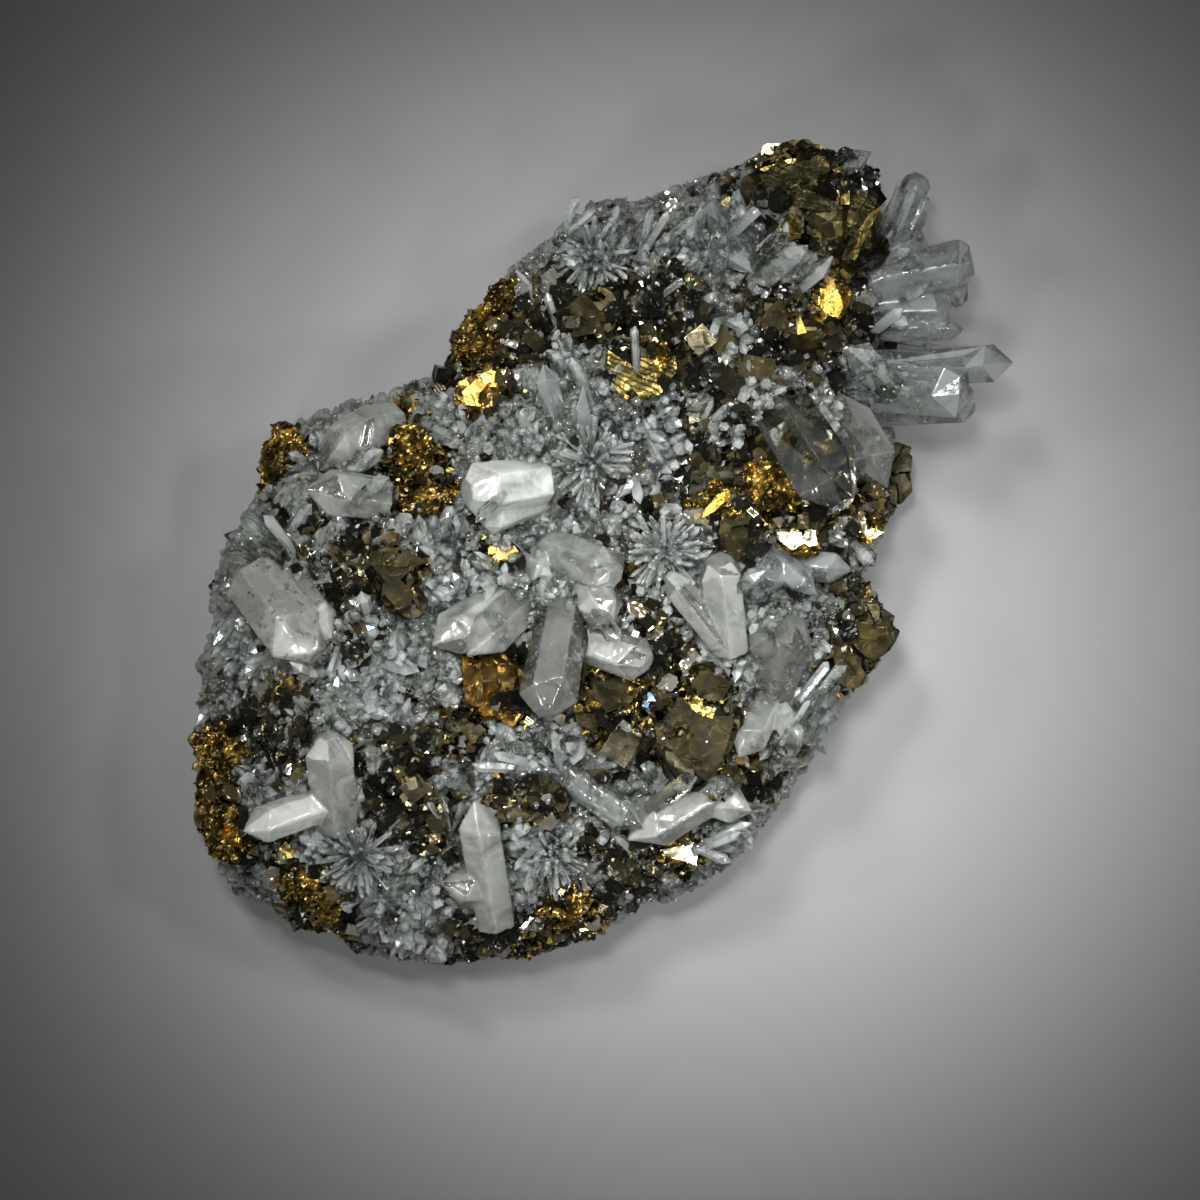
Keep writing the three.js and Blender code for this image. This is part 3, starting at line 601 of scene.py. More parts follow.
def brassFinish(name, tints, rough, crinkle, ledge, sparkle, stain=0.5, metal=0.9, tarnishPerMetre=210):
    # chalcopyrite: brass yellow under bronze and olive tarnish, with growth steps, crinkles and dark stains
    m = Finish(name)
    tarnish = m.noise(tarnishPerMetre, 5, 0.62, 0.6)
    colour = m.ramp(tarnish, [(0.32, tints[0]), (0.5, tints[1]), (0.66, tints[2])])
    soot = m.grade(m.noise(330, 5, 0.65), 0.54, 0.64, 0.0, stain)
    specks = m.grade(m.cells(750, "Distance") + m.noise(200, 2) * 0.5, 0.36, 0.42, stain, 0.0)
    colour = m.mix(specks, m.mix(soot, colour, (0.035, 0.032, 0.02)), (0.02, 0.02, 0.018))
    sheen = m.grade(m.noise(420, 4), 0.35, 0.7, rough[0], rough[1])
    normal = m.bump(m.noise(900, 5, 0.65), crinkle * mm, 0.9, m.glitter(1700, sparkle))
    return m.surface(colour, sheen, metal, m.bump(m.bands(420, 5), ledge * mm, 0.8, normal))


def grainBrassFinish():
    # small chalcopyrite crystals: from dark bronze to bright brass by each one's tone
    m = Finish("chalcopyriteDruse")
    colour = m.ramp(m.value("tone"), [
        (0.0, (0.04, 0.033, 0.014)), (0.4, (0.1, 0.078, 0.026)), (0.7, (0.4, 0.29, 0.07)),
        (1.0, (0.95, 0.7, 0.22))])
    rough = m.grade(m.noise(1200, 3), 0.3, 0.7, 0.1, 0.3)
    return m.surface(colour, rough, 1.0, m.bump(m.noise(2200, 3), 0.05 * mm, 0.7))


def pyriteFinish():
    # pale brass cubes with the fine straight grooves of pyrite
    m = Finish("pyriteStriated")
    colour = m.ramp(m.noise(400, 4), [
        (0.3, (0.30, 0.26, 0.15)), (0.6, (0.55, 0.49, 0.32)), (0.8, (0.8, 0.74, 0.55))])
    rough = m.grade(m.noise(700, 3), 0.3, 0.7, 0.12, 0.3)
    return m.surface(colour, rough, 1.0, m.bump(m.bands(1900, 0.3, "SIN"), 0.03 * mm, 0.5))


# the root's colour, and how far it is mixed in, are painted shade where a crystal meets the rock
quartzSkin = {
    "ior": 1.544, "ripple": 0.03, "rimFrostAndHighlight": 0.12, "rootClear": 0.4, "rootPaintedShade": 0.6, "darkest": 0.74,
    "rootShadeColour": (0.1, 0.105, 0.09), "speckColour": (0.09, 0.08, 0.06), "rustColour": (0.3, 0.14, 0.04)}


def quartzFinish(name, milk, shade, gloss=0.04, bySeed=False, rust=0.0, inner=0.4, sparkle=0.04, split=0.3,
                 tint=(0.965, 1.0, 0.935), glass=(0.94, 0.97, 0.92)):
    # quartz: clear glass with clouds of milk inside, drawn as a mix of a clear and a white shader; the worn
    # edges are frosted and milkier as a painted edge highlight, every face has its own clearness and tone,
    # roots are clearer and darkened with painted shade, and dark specks are sparse
    m = Finish(name)
    face = m.value("tone" if bySeed else "facet")
    cloud = (m.noise(560, 3, 0.55, 0.5) if bySeed else m.noise(250, 5, 0.6, 0.8)) + (face - 0.5) * split
    root = m.value("root")
    # the worn edges are made milkier: real frost, and also a painted edge highlight
    veil = m.grade(cloud, 0.34, 0.66, milk[0], milk[1]) + m.value("rim") * quartzSkin["rimFrostAndHighlight"]
    veil = veil - root * quartzSkin["rootClear"]
    normal = m.bump(m.noise(420, 3, 0.5), quartzSkin["ripple"] * mm, 0.5, m.glitter(2600, sparkle))
    clear = m.shader({
        "Base Color": (*glass, 1), "Roughness": gloss, "IOR": quartzSkin["ior"], "Transmission Weight": 1.0,
        "Normal": normal})
    light = tuple(shade * c for c in tint)
    patchy = m.grade(m.noise(420, 4, 0.6) * 0.55 + face * 0.45, 0.3, 0.62)
    pale = m.mix(patchy, tuple(quartzSkin["darkest"] * c for c in light), light)
    # painted shade: the colour darkens towards the rock where the root mark is high
    pale = m.mix(root * quartzSkin["rootPaintedShade"], pale, quartzSkin["rootShadeColour"])
    specks = m.grade(m.cells(700, "Distance") + m.noise(240, 2) * 0.5, 0.2, 0.25, 0.75, 0.0)
    pale = m.mix(specks, pale, quartzSkin["speckColour"])
    if rust:
        pale = m.mix(m.grade(m.noise(900, 4, 0.7), 0.59, 0.64, 0.0, rust), pale, quartzSkin["rustColour"])
    cloudy = m.shader({
        "Base Color": pale, "Roughness": 0.2, "IOR": quartzSkin["ior"], "Coat Weight": 0.8,
        "Coat Roughness": 0.04, "Subsurface Weight": inner, "Subsurface Radius": (0.9, 0.95, 0.9),
        "Subsurface Scale": 1.4 * mm, "Normal": normal})
    return m.finish(m.node("ShaderNodeMixShader", {}, {0: veil, 1: clear, 2: cloudy}, "Shader"))


def veilFinish():
    # healed cracks and clouds inside the crystals
    m = Finish("quartzInnerVeils")
    pale = m.mix(m.noise(900, 4), (0.6, 0.63, 0.6), (0.95, 0.97, 0.94))
    return m.finish(m.shader({"Base Color": pale, "Roughness": 0.35, "Coat Weight": 0.3}))


def mirrorFinish(name, colour, rough=0.12):
    # one small bright crystal face, lightly worn
    m = Finish(name)
    worn = m.mix(m.grade(m.noise(1500, 4), 0.45, 0.65), colour, tuple(0.55 * c for c in colour))
    return m.surface(worn, rough, 1.0, m.bump(m.noise(1200, 3), 0.02 * mm, 0.5))


# chalcopyrite's tints: in its hollows, on its flats and where its metal is bare
olive = ((0.012, 0.011, 0.004), (0.041, 0.032, 0.011), (0.125, 0.092, 0.026))
crown = ((0.015, 0.013, 0.006), (0.045, 0.037, 0.014), (0.2, 0.15, 0.042))
bronze = ((0.048, 0.036, 0.013), (0.215, 0.15, 0.04), (1.0, 0.7, 0.17))
bright = ((0.58, 0.35, 0.05), (0.92, 0.6, 0.11), (1.0, 0.75, 0.24))
# pale brass, paler than the metal so that the key lamp's reflection on the leaf faces reads white: a painted
# highlight
hot = ((0.7, 0.56, 0.26), (0.95, 0.86, 0.56), (1.0, 0.94, 0.72))
gold = ((0.12, 0.09, 0.025), (0.36, 0.27, 0.075), (0.75, 0.56, 0.17))
brass = ((0.05, 0.04, 0.012), (0.17, 0.135, 0.04), (0.45, 0.36, 0.11))
umber = ((0.0078, 0.0066, 0.003), (0.0192, 0.0162, 0.0066), (0.051, 0.0408, 0.0132))
amber = ((0.0217, 0.0118, 0.0025), (0.062, 0.0335, 0.0056), (0.2232, 0.1178, 0.0155))
slate = ((0.02, 0.022, 0.02), (0.034, 0.037, 0.035), (0.06, 0.064, 0.06))
greenish = (0.94, 1.0, 0.96)

finishes = {
    "rock": rockFinish(),
    "sulphide": sulphideFinish(),
    "druse": grainBrassFinish(),
    "pyrite": pyriteFinish(),
    "olive": brassFinish("chalcopyriteOlive", olive, (0.26, 0.46), 0.04, 0.02, 0.08, 0.7, 0.75),
    "crown": brassFinish("chalcopyriteCrown", crown, (0.24, 0.42), 0.06, 0.05, 0.2, 0.8, 0.85),
    "bronze": brassFinish("chalcopyriteBronze", bronze, (0.14, 0.36), 0.07, 0.06, 0.9, 0.8, 0.9, 620),
    "brass": brassFinish("chalcopyriteBrass", brass, (0.22, 0.38), 0.05, 0.06, 0.2, 0.5, 0.9),
    "gold": brassFinish("chalcopyriteGold", gold, (0.2, 0.36), 0.05, 0.05, 0.2, 0.3, 0.9),
    "bright": brassFinish("chalcopyriteBright", bright, (0.22, 0.34), 0.05, 0.04, 0.06, 0.05, 0.97),
    "amber": brassFinish("chalcopyriteAmber", amber, (0.16, 0.34), 0.03, 0.02, 0.08, 0.4, 0.8),
    "umber": brassFinish("chalcopyriteUmber", umber, (0.24, 0.42), 0.03, 0.02, 0.08, 0.6, 0.8),
    "milky": quartzFinish("quartzMilky", (0.28, 0.92), 0.5, sparkle=0.05),
    # a brighter copy of the milky quartz, for crystals that get less of the lamps' light: painted light
    "snow": quartzFinish("quartzMilkyPaintedLight", (0.4, 0.95), 0.84, sparkle=0.05),
    # rust stains, and a paler milk that makes up for faces leaning away from the lamps: painted light
    "stained": quartzFinish("quartzStainedWithPaintedLight", (0.4, 0.95), 0.84, rust=0.8, sparkle=0.05),
    "grey": quartzFinish("quartzGrey", (0.3, 0.88), 0.24, sparkle=0.04),
    "cloudy": quartzFinish("quartzCloudy", (0.2, 0.8), 0.4, sparkle=0.03, tint=(0.93, 1.0, 0.99)),
    "clear": quartzFinish("quartzClear", (0.15, 0.7), 0.46, 0.02, sparkle=0.02, split=0.4, tint=greenish),
    "smoky": quartzFinish("quartzSmoky", (0.08, 0.5), 0.16, 0.03, sparkle=0.02, glass=(0.52, 0.52, 0.43)),
    "prism": quartzFinish("quartzPrisms", (0.03, 0.64), 0.7, 0.02, True, inner=0.0, sparkle=0.1, split=0.4,
                          tint=greenish),
    "sugar": quartzFinish("quartzSugar", (0.1, 0.64), 0.49, 0.04, True, inner=0.0, sparkle=0.42, split=0.28,
                          tint=(0.935, 1.0, 0.95)),
    "slate": brassFinish("darkSlatePlane", slate, (0.25, 0.4), 0.02, 0.01, 0.05, 0.3, 0.6),
    # the leaf faces' brass, paled so that its reflection of the key lamp reads white: a painted highlight
    "hot": brassFinish("chalcopyritePaintedHighlight", hot, (0.2, 0.32), 0.05, 0.04, 0.06, 0.05, 0.97),
    "veil": veilFinish(),
    "silver": mirrorFinish("silverFaces", (0.6, 0.6, 0.57), 0.2),
    "pale": mirrorFinish("paleBrassFaces", (0.5, 0.43, 0.27), 0.22),
    "blue": mirrorFinish("blueTarnish", (0.3, 0.48, 0.75)),
}


def evenForm(name, voxel):
    # the node's form remeshed into even small triangles, with the normals of its points
    points, tris = nodeForms[name]
    mesh = bpy.data.meshes.new("evenForm")
    mesh.from_pydata(points.tolist(), [], tris.tolist())
    form = addObject("evenForm", mesh)
    remesh = form.modifiers.new("even", "REMESH")
    remesh.mode = "VOXEL"
    remesh.voxel_size = voxel * mm
    even = form.evaluated_get(bpy.context.evaluated_depsgraph_get()).to_mesh()
    even.calc_loop_triangles()
    points, normals = readRows(even.vertices, "co"), readRows(even.vertices, "normal")
    tris = readRows(even.loop_triangles, "vertices", np.int64)
    bpy.data.objects.remove(form)
    bpy.data.meshes.remove(mesh)
    return points, normals, tris


rockSkin = {  # sizes in mm
    "voxel": 0.47, "coarse": 2.6, "fine": 1.0, "coarseTilt": 0.5, "fineTilt": 0.8, "footFade": 1.6,
    "wallShare": 0.5, "topFrom": 1.5}


def dressRock():
    # the rock broken into two sizes of tilted chips that fade out at the flat back and weaken on the walls
    points, normals, tris = evenForm("rock", rockSkin["voxel"])
    relief = chips(points, rockSkin["coarse"] * mm, rockSkin["coarseTilt"], 11)
    relief += chips(points, rockSkin["fine"] * mm, rockSkin["fineTilt"], 23)
    fade = np.clip(points[:, 2] / (rockSkin["footFade"] * mm), 0, 1)
    shares = mineralShares(points)
    wall = rockSkin["wallShare"]
    fade *= wall + (1 - wall) * np.clip(normals[:, 2] * rockSkin["topFrom"], 0, 1)
    placed = points + normals * (relief * fade)[:, None]
    makePiece("rock_skin", placed, tris, "rock", "rock", ["rock"],
              marks={"gold": shares["gold"], "quartz": shares["quartz"]})


dressRock()


# the chalcopyrite masses
brassStyles = {
    # relief in mm of the broad swell, of the growth steps and their width, and of the chips and their size
    "smooth": {"swell": 0.12, "step": 0.03, "stepWidth": 1.5, "chip": 0.25, "chipSize": 2.6},
    "faceted": {"swell": 0.12, "step": 0.04, "stepWidth": 1.4, "chip": 0.3, "chipSize": 3.4},
    "stepped": {"swell": 0.2, "step": 0.3, "stepWidth": 0.8, "chip": 0.12, "chipSize": 1.0},
    "rough": {"swell": 0.25, "step": 0.14, "stepWidth": 1.1, "chip": 0.45, "chipSize": 1.0, "fine": 0.6}}
brassLooks = {
    # finish and style; share of the height under the flat cap, and how far and towards where the cap leans
    "crown": ("crown", "faceted", 0.8, 6, 200), "flame": ("bronze", "rough", 0.3, 13, 120),
    "steps": ("olive", "faceted", 0.5, 8, 300), "spire": ("bronze", "stepped", 0.6, 10, 150),
    "ridge": ("bronze", "rough", 0.8, 10, 90), "nugget": ("bronze", "faceted", 0.55, 13, 125),
    "horn": ("olive", "faceted", 0.5, 12, 20), "grainy": ("bronze", "rough", 0.8, 5, 180),
    "west": ("bronze", "rough", 0.9, 5, 180), "flank": ("bronze", "rough", 0.8, 5, 180),
    "heel": ("bronze", "rough", 0.8, 5, 240), "spark": ("umber", "rough", 0.35, 14, 118),
    "amber": ("amber", "smooth", 0.45, 5, 300), "ember": ("bronze", "faceted", 0.6, 9, 100),
    "lens": ("umber", "smooth", 0.4, 6, 30), "cup": ("olive", "smooth", 0.5, 8, 270),
    "slab": ("umber", "faceted", 0.35, 5, 300), "bar": ("bronze", "rough", 0.5, 9, 60),
    "drift": ("bronze", "rough", 0.7, 10, 110), "fire": ("bronze", "rough", 0.4, 14, 118),
    "glint": ("bronze", "rough", 0.4, 14, 122), "disc": ("umber", "smooth", 0.7, 8, 330),
    "shoulder": ("umber", "smooth", 0.4, 8, 20), "keel": ("bronze", "rough", 0.4, 14, 118),
    "hem": ("bronze", "rough", 0.8, 8, 240), "olive": ("umber", "smooth", 0.3, 8, 330)}
brassShape = {  # sizes in mm
    "voxel": 0.24, "outline": 0.55, "outlineSize": 5.0, "swellSize": 3.2, "chipTilt": 0.8, "fineSize": 0.6,
    "fineTilt": 1.2, "ladderBend": 0.5, "ladderSize": 5}


def pressCap(points, share, lean, towards):
    # everything above one leaning plane is let down onto it
    middle = points.mean(axis=0)
    ground = heightAt(rockSurvey, middle[0], middle[1])
    level = ground + share * (points[:, 2].max() - ground)
    lean, towards = np.radians(lean), np.radians(towards)
    slope = -np.tan(lean) * np.array([np.cos(towards), np.sin(towards)])
    plane = level + (points[:, :2] - middle[:2]) @ slope
    pressed = points.copy()
    pressed[:, 2] = np.minimum(points[:, 2], np.maximum(plane, mm))
    return pressed


def dressBrass(name, look, style, share, lean, towards):
    # the mass remeshed fine, its outline pushed in and out, pressed flat on top, then steps and chips over it
    points, normals, tris = evenForm(name, brassShape["voxel"])
    seed = nodeOrder.index(name)
    push = brassShape["outline"] * mm * waves(points, brassShape["outlineSize"] * mm, seed + 200)
    points = points + normals * [1, 1, 0] * push[:, None]
    points = pressCap(points, share, lean, towards)
    normals = pointNormals(points, tris)
    relief = style["swell"] * mm * waves(points, brassShape["swellSize"] * mm, seed + 100)
    heading = unit(np.random.default_rng(seed).normal(size=3) * [1, 1, 0.5])
    bend = brassShape["ladderBend"] * waves(points, brassShape["ladderSize"] * mm, seed)
    ladder = points @ heading / (style["stepWidth"] * mm) + bend
    relief += style["step"] * mm * (0.5 - (ladder - np.floor(ladder)))
    relief += style["chip"] * chips(points, style["chipSize"] * mm, brassShape["chipTilt"], seed)
    fine = chips(points, brassShape["fineSize"] * mm, brassShape["fineTilt"], seed + 9)
    relief += style.get("fine", 0) * fine
    makePiece(name + "_mass", points + normals * relief[:, None], tris, look, "chalcopyrite", [name])


for title, (look, style, *cap) in brassLooks.items():
    dressBrass("chalcopyrite_" + title, look, brassStyles[style], *cap)


# brass faces with their own outlines in view pixels, standing on the masses
faceStyles = {
    # finish; lean in degrees and the direction it faces; lift over the mass, crinkle and growth steps in mm
    "leaf": ("hot", 14, 120, 0.45, 0.04, 0.0), "crown": ("crown", 6, 320, 0.7, 0.05, 0.06),
    "slate": ("slate", 4, 320, 0.6, 0.02, 0.0), "gilt": ("bright", 19, 170, 0.6, 0.022, 0.0),
    "gold": ("gold", 10, 100, 0.25, 0.08, 0.0), "glow": ("gold", 25, 190, 0.7, 0.05, 0.0),
    "stepped": ("brass", 8, 60, 0.4, 0.05, 0.1), "olive": ("olive", 7, 320, 0.5, 0.016, 0.0),
    "oliveFar": ("olive", 22, 80, 0.5, 0.016, 0.0), "amber": ("amber", 6, 320, 0.6, 0.03, 0.0),
    "umber": ("umber", 6, 30, 0.55, 0.03, 0.0), "mirror": ("silver", 14, 120, 0.4, 0.03, 0.0),
    "pale": ("pale", 26, 190, 0.5, 0.03, 0.0)}
brassFaces = [
    ("gilt", [(815, 275), (822, 272), (832, 278), (841, 298), (843, 308), (838, 318), (828, 316),
        (822, 322), (814, 325), (812, 313), (816, 298), (814, 288)]),
    ("gilt", [(795, 320), (799, 317), (806, 334), (797, 336)]),
    ("gilt", [(462, 392), (476, 380), (484, 373), (493, 370), (504, 378), (488, 384), (480, 394),
        (478, 402), (482, 407), (466, 405)]),
    ("gilt", [(477, 555), (488, 556), (490, 545), (496, 548), (515, 546), (522, 557), (508, 563),
        (498, 565), (492, 569), (487, 562)]),
    ("leaf", [(770, 533), (776, 526), (780, 522), (784, 528), (800, 531), (803, 538), (806, 530),
        (815, 525), (817, 545), (810, 547), (803, 543), (793, 551), (786, 546)]),
    ("leaf", [(812, 516), (823, 503), (834, 511), (841, 510), (838, 514), (818, 515)]),
    ("leaf", [(854, 530), (857, 520), (861, 510), (865, 511), (869, 530), (874, 528), (885, 532),
        (875, 539), (868, 534)]),
    ("leaf", [(659, 851), (680, 847), (693, 842), (702, 841), (698, 851), (697, 866), (680, 861),
        (664, 857)]),
    ("gold", [(658, 843), (664, 838), (674, 839), (678, 845), (662, 848)]),
    ("gilt", [(701, 519), (703, 512), (716, 495), (730, 490), (729, 498), (714, 512)]),
    ("gilt", [(573, 705), (580, 703), (585, 708), (590, 697), (595, 703), (598, 716), (586, 712),
        (574, 717)]),
    ("oliveFar", [(584, 664), (597, 662), (628, 676), (640, 690), (628, 705), (606, 712), (598, 700),
        (590, 696), (573, 703), (580, 690)]),
    ("amber", [(462, 655), (480, 660), (500, 640), (512, 628), (530, 628), (531, 690), (535, 704),
        (512, 728), (490, 712), (466, 702)]),
    ("glow", [(464, 678), (470, 673), (484, 675), (484, 698), (470, 702)]),
    ("glow", [(518, 668), (528, 670), (528, 686), (519, 684)]),
    ("glow", [(491, 678), (505, 681), (517, 676), (514, 687), (497, 688)]),
    ("gilt", [(497, 715), (505, 713), (523, 712), (513, 726)]),
    ("umber", [(416, 730), (432, 718), (478, 722), (488, 730), (468, 748), (460, 765), (445, 770),
        (428, 758)]),
    ("olive", [(372, 552), (385, 548), (403, 548), (430, 562), (415, 568), (402, 580), (415, 592),
        (412, 605), (396, 614), (382, 600), (385, 580), (370, 562)]),
    ("olive", [(655, 722), (662, 700), (680, 696), (700, 716), (735, 715), (728, 740), (722, 760),
        (705, 780), (685, 765), (672, 750), (656, 742)]),
    ("gold", [(668, 694), (676, 682), (692, 679), (704, 692), (702, 705), (716, 708), (712, 718),
        (698, 714), (682, 700)]),
    ("oliveFar", [(715, 768), (725, 757), (738, 768), (743, 782), (728, 790), (716, 784)]),
    ("olive", [(814, 657), (820, 645), (835, 639), (845, 645), (868, 675), (860, 688), (850, 690),
        (825, 672)]),
    ("oliveFar", [(843, 635), (848, 622), (862, 617), (885, 614), (893, 620), (893, 642), (885, 655),
        (872, 662)]),
    ("leaf", [(764, 141), (769, 137), (783, 138), (778, 152), (763, 150)]),
    ("glow", [(770, 241), (775, 232), (788, 215), (800, 222), (800, 240), (785, 243)]),
    ("glow", [(885, 204), (870, 228), (862, 245), (855, 262), (841, 256), (852, 240), (868, 215)]),
    ("oliveFar", [(798, 217), (812, 214), (832, 225), (834, 238), (825, 239)]),
    ("crown", [(757, 178), (775, 166), (800, 164), (814, 172), (808, 186), (790, 190), (765, 189)]),
    ("slate", [(755, 193), (775, 187), (790, 193), (788, 215), (772, 226), (757, 214)]),
    ("crown", [(838, 198), (858, 190), (876, 200), (872, 222), (856, 240), (842, 232), (834, 212)]),
    ("crown", [(795, 190), (812, 186), (828, 196), (830, 214), (812, 212), (798, 210)]),
    ("gold", [(834, 186), (848, 190), (849, 206), (836, 208)]),
    ("gold", [(824, 170), (841, 168), (839, 180)]),
    ("gold", [(758, 170), (790, 159), (805, 161), (765, 174)]),
    ("olive", [(760, 325), (764, 314), (776, 302), (784, 305), (790, 331), (762, 331)]),
    ("oliveFar", [(810, 342), (812, 330), (832, 321), (842, 338), (826, 344)]),
    ("oliveFar", [(579, 305), (583, 295), (590, 300), (605, 318), (618, 323), (600, 334), (565, 341),
        (580, 326)]),
    ("stepped", [(605, 362), (608, 352), (625, 362), (638, 370), (645, 340), (650, 336), (668, 365),
        (674, 355), (677, 372), (660, 396), (640, 398), (632, 390), (622, 398), (606, 380)]),
    ("pale", [(500, 338), (507, 340), (506, 350), (516, 354), (514, 362), (502, 360)]),
    ("umber", [(484, 800), (500, 794), (545, 795), (555, 806), (530, 821), (490, 822)]),
    ("gold", [(520, 821), (540, 819), (557, 808), (550, 821), (528, 827)]),
    ("gold", [(560, 888), (563, 900), (559, 914), (563, 922), (552, 915), (556, 898)]),
    ("leaf", [(578, 925), (598, 922), (594, 931), (580, 933)]),
    ("mirror", [(519, 929), (530, 918), (535, 918), (522, 932)]),
    ("mirror", [(860, 292), (862, 283), (870, 279), (876, 282), (868, 296)]),
    ("gilt", [(341, 747), (348, 740), (358, 741), (361, 749), (354, 758), (343, 758)]),
    ("mirror", [(271, 845), (277, 840), (285, 843), (283, 850), (275, 852)]),
    ("gold", [(278, 849), (290, 836), (303, 828), (306, 842), (300, 856), (284, 860)]),
    ("olive", [(698, 521), (722, 514), (748, 507), (752, 514), (748, 524), (712, 532)]),
    ("umber", [(690, 472), (712, 466), (744, 468), (738, 488), (704, 500), (689, 500)]),
]
faceShape = {  # sizes in mm, but for the heading, the tilt and the bend
    "step": 0.13, "depth": 2.6, "crinkleSize": 1.3, "chipSize": 1.8, "chipTilt": 0.8, "stepWidth": 0.55,
    "stepHeading": (0.4, 0.9), "ladderBend": 0.6, "ladderSize": 3}


def insideOutline(x, y, outline):
    # even or odd count of the outline's sides crossed on the way out along +X
    inside = np.zeros(np.shape(x), bool)
    for (x0, y0), (x1, y1) in zip(outline, np.roll(outline, -1, axis=0)):
        crosses = (y0 > y) != (y1 > y)
        inside ^= crosses & (x < x0 + (x1 - x0) * (y - y0) / (y1 - y0 + 1e-12))
    return inside


def onOutline(points, outline):
    # each point's nearest place on the outline
    best, nearest = points.copy(), np.full(len(points), np.inf)
    for start, end in zip(outline, np.roll(outline, -1, axis=0)):
        along = np.clip((points - start) @ (end - start) / ((end - start) ** 2).sum(), 0, 1)
        spot = start + along[:, None] * (end - start)
        distance = np.linalg.norm(points - spot, axis=1)
        best[distance < nearest] = spot[distance < nearest]
        nearest = np.minimum(nearest, distance)
    return best


standTree = treeOf(*joinParts(dressed))


def standHeights(x, y):
    # heights of the rock's and the masses' finished surfaces; the floor's where there is none
    return heightsOver(standTree, x, y, 0.0)


def raiseFace(number, style, outline):
    # a leaning, crinkled face over a grid of small squares, with walls that go down into the mass
    look, lean, towards, lift, crinkle, steps = faceStyles[style]
    px, py = np.array(outline, float).T
    outline = np.stack(place(px, py), axis=1)
    step = faceShape["step"] * mm
    low, high = outline.min(axis=0), outline.max(axis=0)
    across, along = (np.arange(low[k] - step, high[k] + 2 * step, step) for k in range(2))
    centreX, centreY = np.meshgrid(across[:-1] + step / 2, along[:-1] + step / 2, indexing="ij")
    used = insideOutline(centreX, centreY, outline)
    i, j = np.nonzero(used)
    corner = np.stack([i * len(along) + j, (i + 1) * len(along) + j, (i + 1) * len(along) + j + 1,
                       i * len(along) + j + 1], axis=1)
    spots, back = np.unique(corner, return_inverse=True)
    corner = back.reshape(corner.shape)
    flat = np.stack([across[spots // len(along)], along[spots % len(along)]], axis=1)
    outer = ~insideOutline(flat[:, 0], flat[:, 1], outline)
    flat[outer] = onOutline(flat[outer], outline)
    middle = flat.mean(axis=0)
    level = np.median(standHeights(*flat.T)) + lift * mm
    lean, towards = np.radians(lean), np.radians(towards)
    height = level - np.tan(lean) * (flat - middle) @ [np.cos(towards), np.sin(towards)]
    top = np.column_stack([flat, height])
    relief = crinkle * mm * waves(top, faceShape["crinkleSize"] * mm, 400 + number, 9)
    relief += 2 * crinkle * chips(top, faceShape["chipSize"] * mm, faceShape["chipTilt"], 400 + number)
    bend = faceShape["ladderBend"] * waves(top, faceShape["ladderSize"] * mm, 500 + number)
    ladder = flat @ faceShape["stepHeading"] / (faceShape["stepWidth"] * mm) + bend
    top[:, 2] += relief + steps * mm * (ladder - np.floor(ladder))
    upper = np.concatenate([corner[:, [0, 1, 2]], corner[:, [0, 2, 3]]])
    sides = np.concatenate([corner[:, [k, (k + 1) % 4]] for k in range(4)])
    twins = {tuple(side) for side in sides.tolist()}
    rim = np.array([side for side in twins if side[::-1] not in twins])
    rim = rim[np.lexsort(rim.T)]
    edge, back = np.unique(rim, return_inverse=True)
    low = back.reshape(rim.shape) + len(top)
    foot = top[edge] - [0, 0, faceShape["depth"] * mm]
    centre = np.full(len(rim), len(top) + len(edge))
    walls = np.concatenate([np.column_stack([rim[:, 0], low[:, 0], low[:, 1]]),
                            np.column_stack([rim[:, 0], low[:, 1], rim[:, 1]]),
                            np.column_stack([low[:, 1], low[:, 0], centre])])
    return look, np.vstack([top, foot, foot.mean(axis=0)]), np.vstack([upper, walls])


def raiseFaces():
    # the faces of one finish joined in one piece
    byLook = {}
    for number, (style, outline) in enumerate(brassFaces):
        look, *arrays = raiseFace(number, style, outline)
        byLook.setdefault(look, []).append(arrays)
    for look, parts in byLook.items():
        makePiece("brass_faces_" + look, *joinParts(parts), look, "chalcopyrite")


raiseFaces()


# the larger quartz crystals and the pyrite cubes
quartzLooks = {
    "fan_upper": "cloudy", "fan_middle": "cloudy", "fan_point": "cloudy", "pendant": "grey", "smoky": "smoky",
    "giant": "stained", "tusk": "snow", "tower": "milky", "flame": "grey", "block": "snow",
    "middle": "milky", "bean": "milky", "pair": "milky", "column": "milky", "buttons": "grey",
    "slanted": "cloudy", "lower": "milky", "edge": "cloudy", "log": "milky", "glassy": "clear",
    "blade": "clear", "crest": "cloudy", "milky": "milky", "pebble": "milky"}


crystalSkin = {  # sizes in mm, angles in radians, areas in square mm
    "flatAngle": 0.02, "edgeWidth": 0.05, "bend": 0.1, "bendSize": 4.5, "sharpest": 0.25, "smallestFace": 0.5,
    "rounded": {  # how strong the waves and growth patches are over each
        "fan_upper": 0.15, "fan_middle": 0.15, "tower": 0.5, "tusk": 0.5, "flame": 0.3, "bean": 0.4,
        "giant": 0.25, "block": 0.2, "middle": 0.3, "milky": 0.25, "pair": 0.2, "buttons": 0.3,
        "pebble": 0.3, "column": 0.15, "lower": 0.25, "slanted": 0.15, "log": 0.2, "glassy": 0.3},
    "facingSteps": 3, "rootHeight": 3.0, "rootMark": 0.8,
    "voxel": 0.25, "swell": 0.06, "swellSize": 3.0, "chip": 0.15, "chipSize": 1.9, "chipTilt": 0.6,
    "veilsPerMm2": 0.6, "veilSize": (0.15, 0.6), "veilDepth": (0.3, 1.6), "veilRoom": 0.7, "veilLean": 0.7,
    "veilFlat": 0.04, "veilStart": 0.05, "veilWobble": 0.3}


